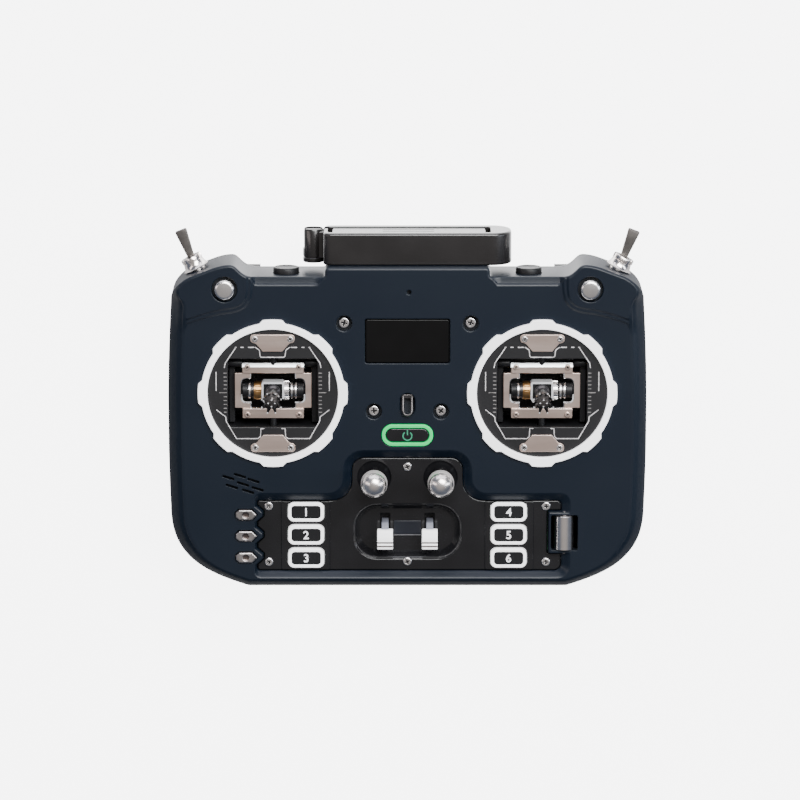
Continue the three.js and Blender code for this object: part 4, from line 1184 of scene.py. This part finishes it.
# ---------- antenna ----------
def antenna():
    b = Build(turn_to(0, 0, 0, "Y"))
    section = fillet([(-33.3, 17), (41.2, 17), (41.2, 37), (-33.3, 37)], [3, 8, 8, 3], 10)
    recess = fillet([(-31.5, 21.2), (32.9, 21.2), (32.9, 34.1), (-31.5, 34.1)], 1.2, 4)
    b.moulded(section, 61.35, 74.2, 1.1, 0.8, holes=[dict(loop=recess, rim=0.35, steps=[(0, 66)])],
              arc=SOFT_ARC)
    b.moulded(span(-38, -31.3, 19.4, 26.6, 0.5, 3), 62.4, 73.2, 0.5, 0.3)
    barrel = Build(turn_to(-37.3, 0, 23, "Y"))
    barrel.turned([(0, 60.6), (3.9, 60.6), (4.25, 61.0), (4.25, 62.3), (4.05, 62.5), (4.05, 62.9),
                   (4.25, 63.1),
                   (4.25, 73.4), (4.0, 73.95), (3.4, 74.15), (0, 74.2)], n=48)
    b.merge(barrel)
    fork = Build()
    fork.moulded(span(-44, -31, 66, 80, 0, 0), 21, 25, 0)
    piece(b, "antenna_holder", "root", [ANTENNA_BLACK, SATIN], ["antenna_cradle"],
          cutters=[fork],
          angle=32, overlapping=True)
    b = Build(turn_to(0, 0, 0, "Y"))
    slits = [dict(loop=rect(x, 27.6 + dz, 20.4, 0.8, 0.35, 3), rim=0.12, steps=[(0, 73.1)], mat=1)
             for x, dz in ((0.4, 1.9), (0.4, -1.9))]
    b.moulded(fillet([(-29.8, 22.4), (31, 22.4), (31, 32.9), (-29.8, 32.9)], 1.0, 4), 67, 73.8, 0.45, 0.3,
              holes=slits)
    b.moulded(span(-37.3, -28.8, 21.35, 24.65, 0.3, 2), 68.2, 72.2, 0.3, 0.3)
    knuckle = Build(turn_to(-37.3, 70.2, 0))
    knuckle.turned([(1.25, 21.3), (3.0, 21.3), (3.2, 21.5), (3.2, 24.5), (3.0, 24.7), (1.25, 24.7),
                    (1.25, 21.3)],
                   n=36)
    bmesh.ops.remove_doubles(knuckle.bm, verts=knuckle.bm.verts, dist=1e-5)
    b.merge(knuckle)
    piece(b, "antenna_paddle", "antenna_blade_body", [ANTENNA_BLACK, NAVY_DEEP],
          ["antenna_blade"])


# ---------- carried-over CAD nodes ----------
def dress(nodes, mat):
    for n in nodes:
        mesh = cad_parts[n].data
        mesh.materials.clear()
        mesh.materials.append(mat)


# Near-white metal used as painted highlight: the white edge lines and chamfer on the yokes and the white
# specks on the stick tips.
PAINTED_HIGHLIGHT = material("painted_highlight_white", (0.93, 0.94, 0.95), 0.3, 0.6, tint=0.03, grain=3000, bump=0.03,
                  spread=0.03)
MENU_METAL = material("menu_metal", (0.40, 0.38, 0.37), 0.3, 1.0, tint=0.1, grain=4500, bump=0.08,
                      brushed=(1, 0.15, 1), second=(0.55, 0.52, 0.51), blotch=300)
# Darker metal for the menu key dishes: painted dark reflection.
MENU_DARK_REFLECTION = material("menu_metal_painted_dark_reflection", (0.16, 0.13, 0.12), 0.35, 1.0, tint=0.2, grain=4500, bump=0.08)
PANEL_BLUE = material("panel_blue_black", (0.011, 0.013, 0.019), 0.3, tint=0.2, grain=900, bump=0.03,
                      level=0.4)
# Lighter grey for a painted crease highlight in the scoop.
PANEL_CREASE_HIGHLIGHT = material("panel_crease_highlight", (0.085, 0.085, 0.092), 0.35, tint=0.2, grain=900, bump=0.03)
LEVER_GREY = material("lever_grey", (0.22, 0.23, 0.27), 0.4, tint=0.06, grain=2000)
# Dark brown for the lever grooves: painted shade.
GROOVE_SHADE = material("lever_groove_painted_shade", (0.10, 0.085, 0.08), 0.6, tint=0.1, grain=2000)
TOGGLE_STEEL = material("toggle_steel", (0.13, 0.122, 0.116), 0.42, 1.0, tint=0.08, grain=4500, bump=0.1,
                        brushed=(1, 1, 0.12), second=(0.18, 0.168, 0.158), blotch=180)

front_case()
rear_case()
lower_panel()
keys()
display()
roller()
antenna()
for name, side in SIDES:
    gimbal(name, side)
    small_controls(name, side)
    toggle(name, side)
dress(["main_board", "panel_board"], BOARD)
dress(["battery_cell_1", "battery_cell_2"], CELL)
dress(["display_module", "speaker", "left_potentiometer", "right_potentiometer", "left_lever_switch",
       "right_lever_switch", "left_gimbal_frame", "right_gimbal_frame"], SATIN)
dress(["rf_module", "antenna_pin"], STEEL)


# ---------- stage ----------
def floor_material():
    """Pale floor: white to the camera, a softer fill to the object, and clear when looked at from below."""
    m = material("floor_white", (0.42, 0.42, 0.43), 0.8, tint=0.01, grain=300, bump=0.0, level=0.1)
    nodes, links = m.node_tree.nodes, m.node_tree.links
    shader, path = nodes["Principled BSDF"], nodes.new("ShaderNodeLightPath")
    coords, split = nodes.new("ShaderNodeTexCoord"), nodes.new("ShaderNodeSeparateXYZ")
    fill, glow, size, narrow, both = (nodes.new(f"ShaderNode{kind}")
                                      for kind in ("MapRange", "Mix", "Math", "MapRange", "Math"))
    links.new(coords.outputs["Object"], split.inputs["Vector"])
    links.new(split.outputs["Y"], fill.inputs["Value"])
    put(fill, {"From Min": 0.02, "From Max": 0.06})
    size.operation, both.operation = "ABSOLUTE", "MULTIPLY"
    links.new(split.outputs["X"], size.inputs[0])
    links.new(size.outputs[0], narrow.inputs["Value"])
    put(narrow, {"From Min": 0.05, "From Max": 0.09, "To Min": 3.4, "To Max": 0.25})
    links.new(fill.outputs["Result"], both.inputs[0])
    links.new(narrow.outputs["Result"], both.inputs[1])
    links.new(path.outputs["Is Camera Ray"], glow.inputs[0])
    links.new(both.outputs[0], glow.inputs[2])
    put(glow, {3: 6.0})  # what the camera sees; the object gets the fill above
    links.new(glow.outputs[0], shader.inputs["Emission Strength"])
    put(shader, {"Emission Color": (1, 1, 1, 1)})
    clear, side = nodes.new("ShaderNodeBsdfTransparent"), nodes.new("ShaderNodeMixShader")
    geometry = nodes.new("ShaderNodeNewGeometry")
    links.new(geometry.outputs["Backfacing"], side.inputs["Fac"])
    links.new(shader.outputs["BSDF"], side.inputs[1])
    links.new(clear.outputs["BSDF"], side.inputs[2])
    links.new(side.outputs["Shader"], nodes["Material Output"].inputs["Surface"])
    return m


def stage():
    mesh = bpy.data.meshes.new("floor")
    s = 3.0
    mesh.from_pydata([(-s, -s, -0.0005), (s, -s, -0.0005), (s, s, -0.0005), (-s, s, -0.0005)], [],
                     [(0, 1, 2, 3)])
    floor = link(bpy.data.objects.new("floor", mesh))
    mesh.materials.append(floor_material())

    world = bpy.data.worlds.new("studio")
    bpy.context.scene.world = world
    world.use_nodes = True
    nodes, links = world.node_tree.nodes, world.node_tree.links
    coords, split = nodes.new("ShaderNodeTexCoord"), nodes.new("ShaderNodeSeparateXYZ")
    ramp = nodes.new("ShaderNodeValToRGB")
    links.new(coords.outputs["Generated"], split.inputs["Vector"])
    links.new(split.outputs["Z"], ramp.inputs["Fac"])
    ramp.color_ramp.elements[0].position, ramp.color_ramp.elements[1].position = 0.0, 0.95
    ramp.color_ramp.elements[0].color = (0.10, 0.12, 0.16, 1)
    ramp.color_ramp.elements[1].color = (0.40, 0.38, 0.37, 1)
    mid = ramp.color_ramp.elements.new(0.6)
    mid.color = (0.14, 0.16, 0.20, 1)
    background, path = nodes["Background"], nodes.new("ShaderNodeLightPath")
    shown = nodes.new("ShaderNodeMix")
    shown.data_type = "RGBA"
    put(shown, {7: (4.5, 4.5, 4.5, 1)})  # what the camera sees; the object gets the ramp
    links.new(path.outputs["Is Camera Ray"], shown.inputs[0])
    links.new(ramp.outputs["Color"], shown.inputs[6])
    links.new(shown.outputs[2], background.inputs["Color"])

    def area(name, at, target, size, power, colour=(1, 1, 1)):
        light = bpy.data.lights.new(name, "AREA")
        light.shape, light.size, light.size_y = "RECTANGLE", size[0], size[1]
        light.energy, light.color = power, colour
        obj = link(bpy.data.objects.new(name, light))
        obj.location = at
        obj.rotation_euler = (Vector(target) - Vector(at)).to_track_quat("-Z", "Y").to_euler()

    area("key", (0.35, 0.85, 1.25), (0, 0, 0.03), (1.2, 0.8), 46)
    area("back", (0, 1.3, 0.35), (0, 0, 0.03), (1.8, 0.5), 9, (0.93, 0.92, 1.0))
    area("left", (-1.1, 0.25, 0.75), (0, 0, 0.03), (0.25, 1.0), 2.5, (1.0, 0.88, 0.84))
    area("right", (1.1, 0.15, 0.75), (0, 0, 0.03), (0.2, 1.0), 6, (0.86, 0.92, 1.0))

    tilt, distance, width = math.radians(12), 1.8, 0.3168
    camera = bpy.data.cameras.new("camera")
    camera.sensor_width = 36.0
    camera.lens = 36.0 * distance / width
    camera.clip_end = 20
    eye = link(bpy.data.objects.new("camera", camera))
    target = Vector((-2.95 * MM, (8.2 + ROW_Y) * MM, FACE_Z * MM))
    eye.location = target + Vector((0, math.sin(tilt), math.cos(tilt))) * distance
    eye.rotation_euler = (-tilt, 0, 0)
    bpy.context.scene.camera = eye


stage()
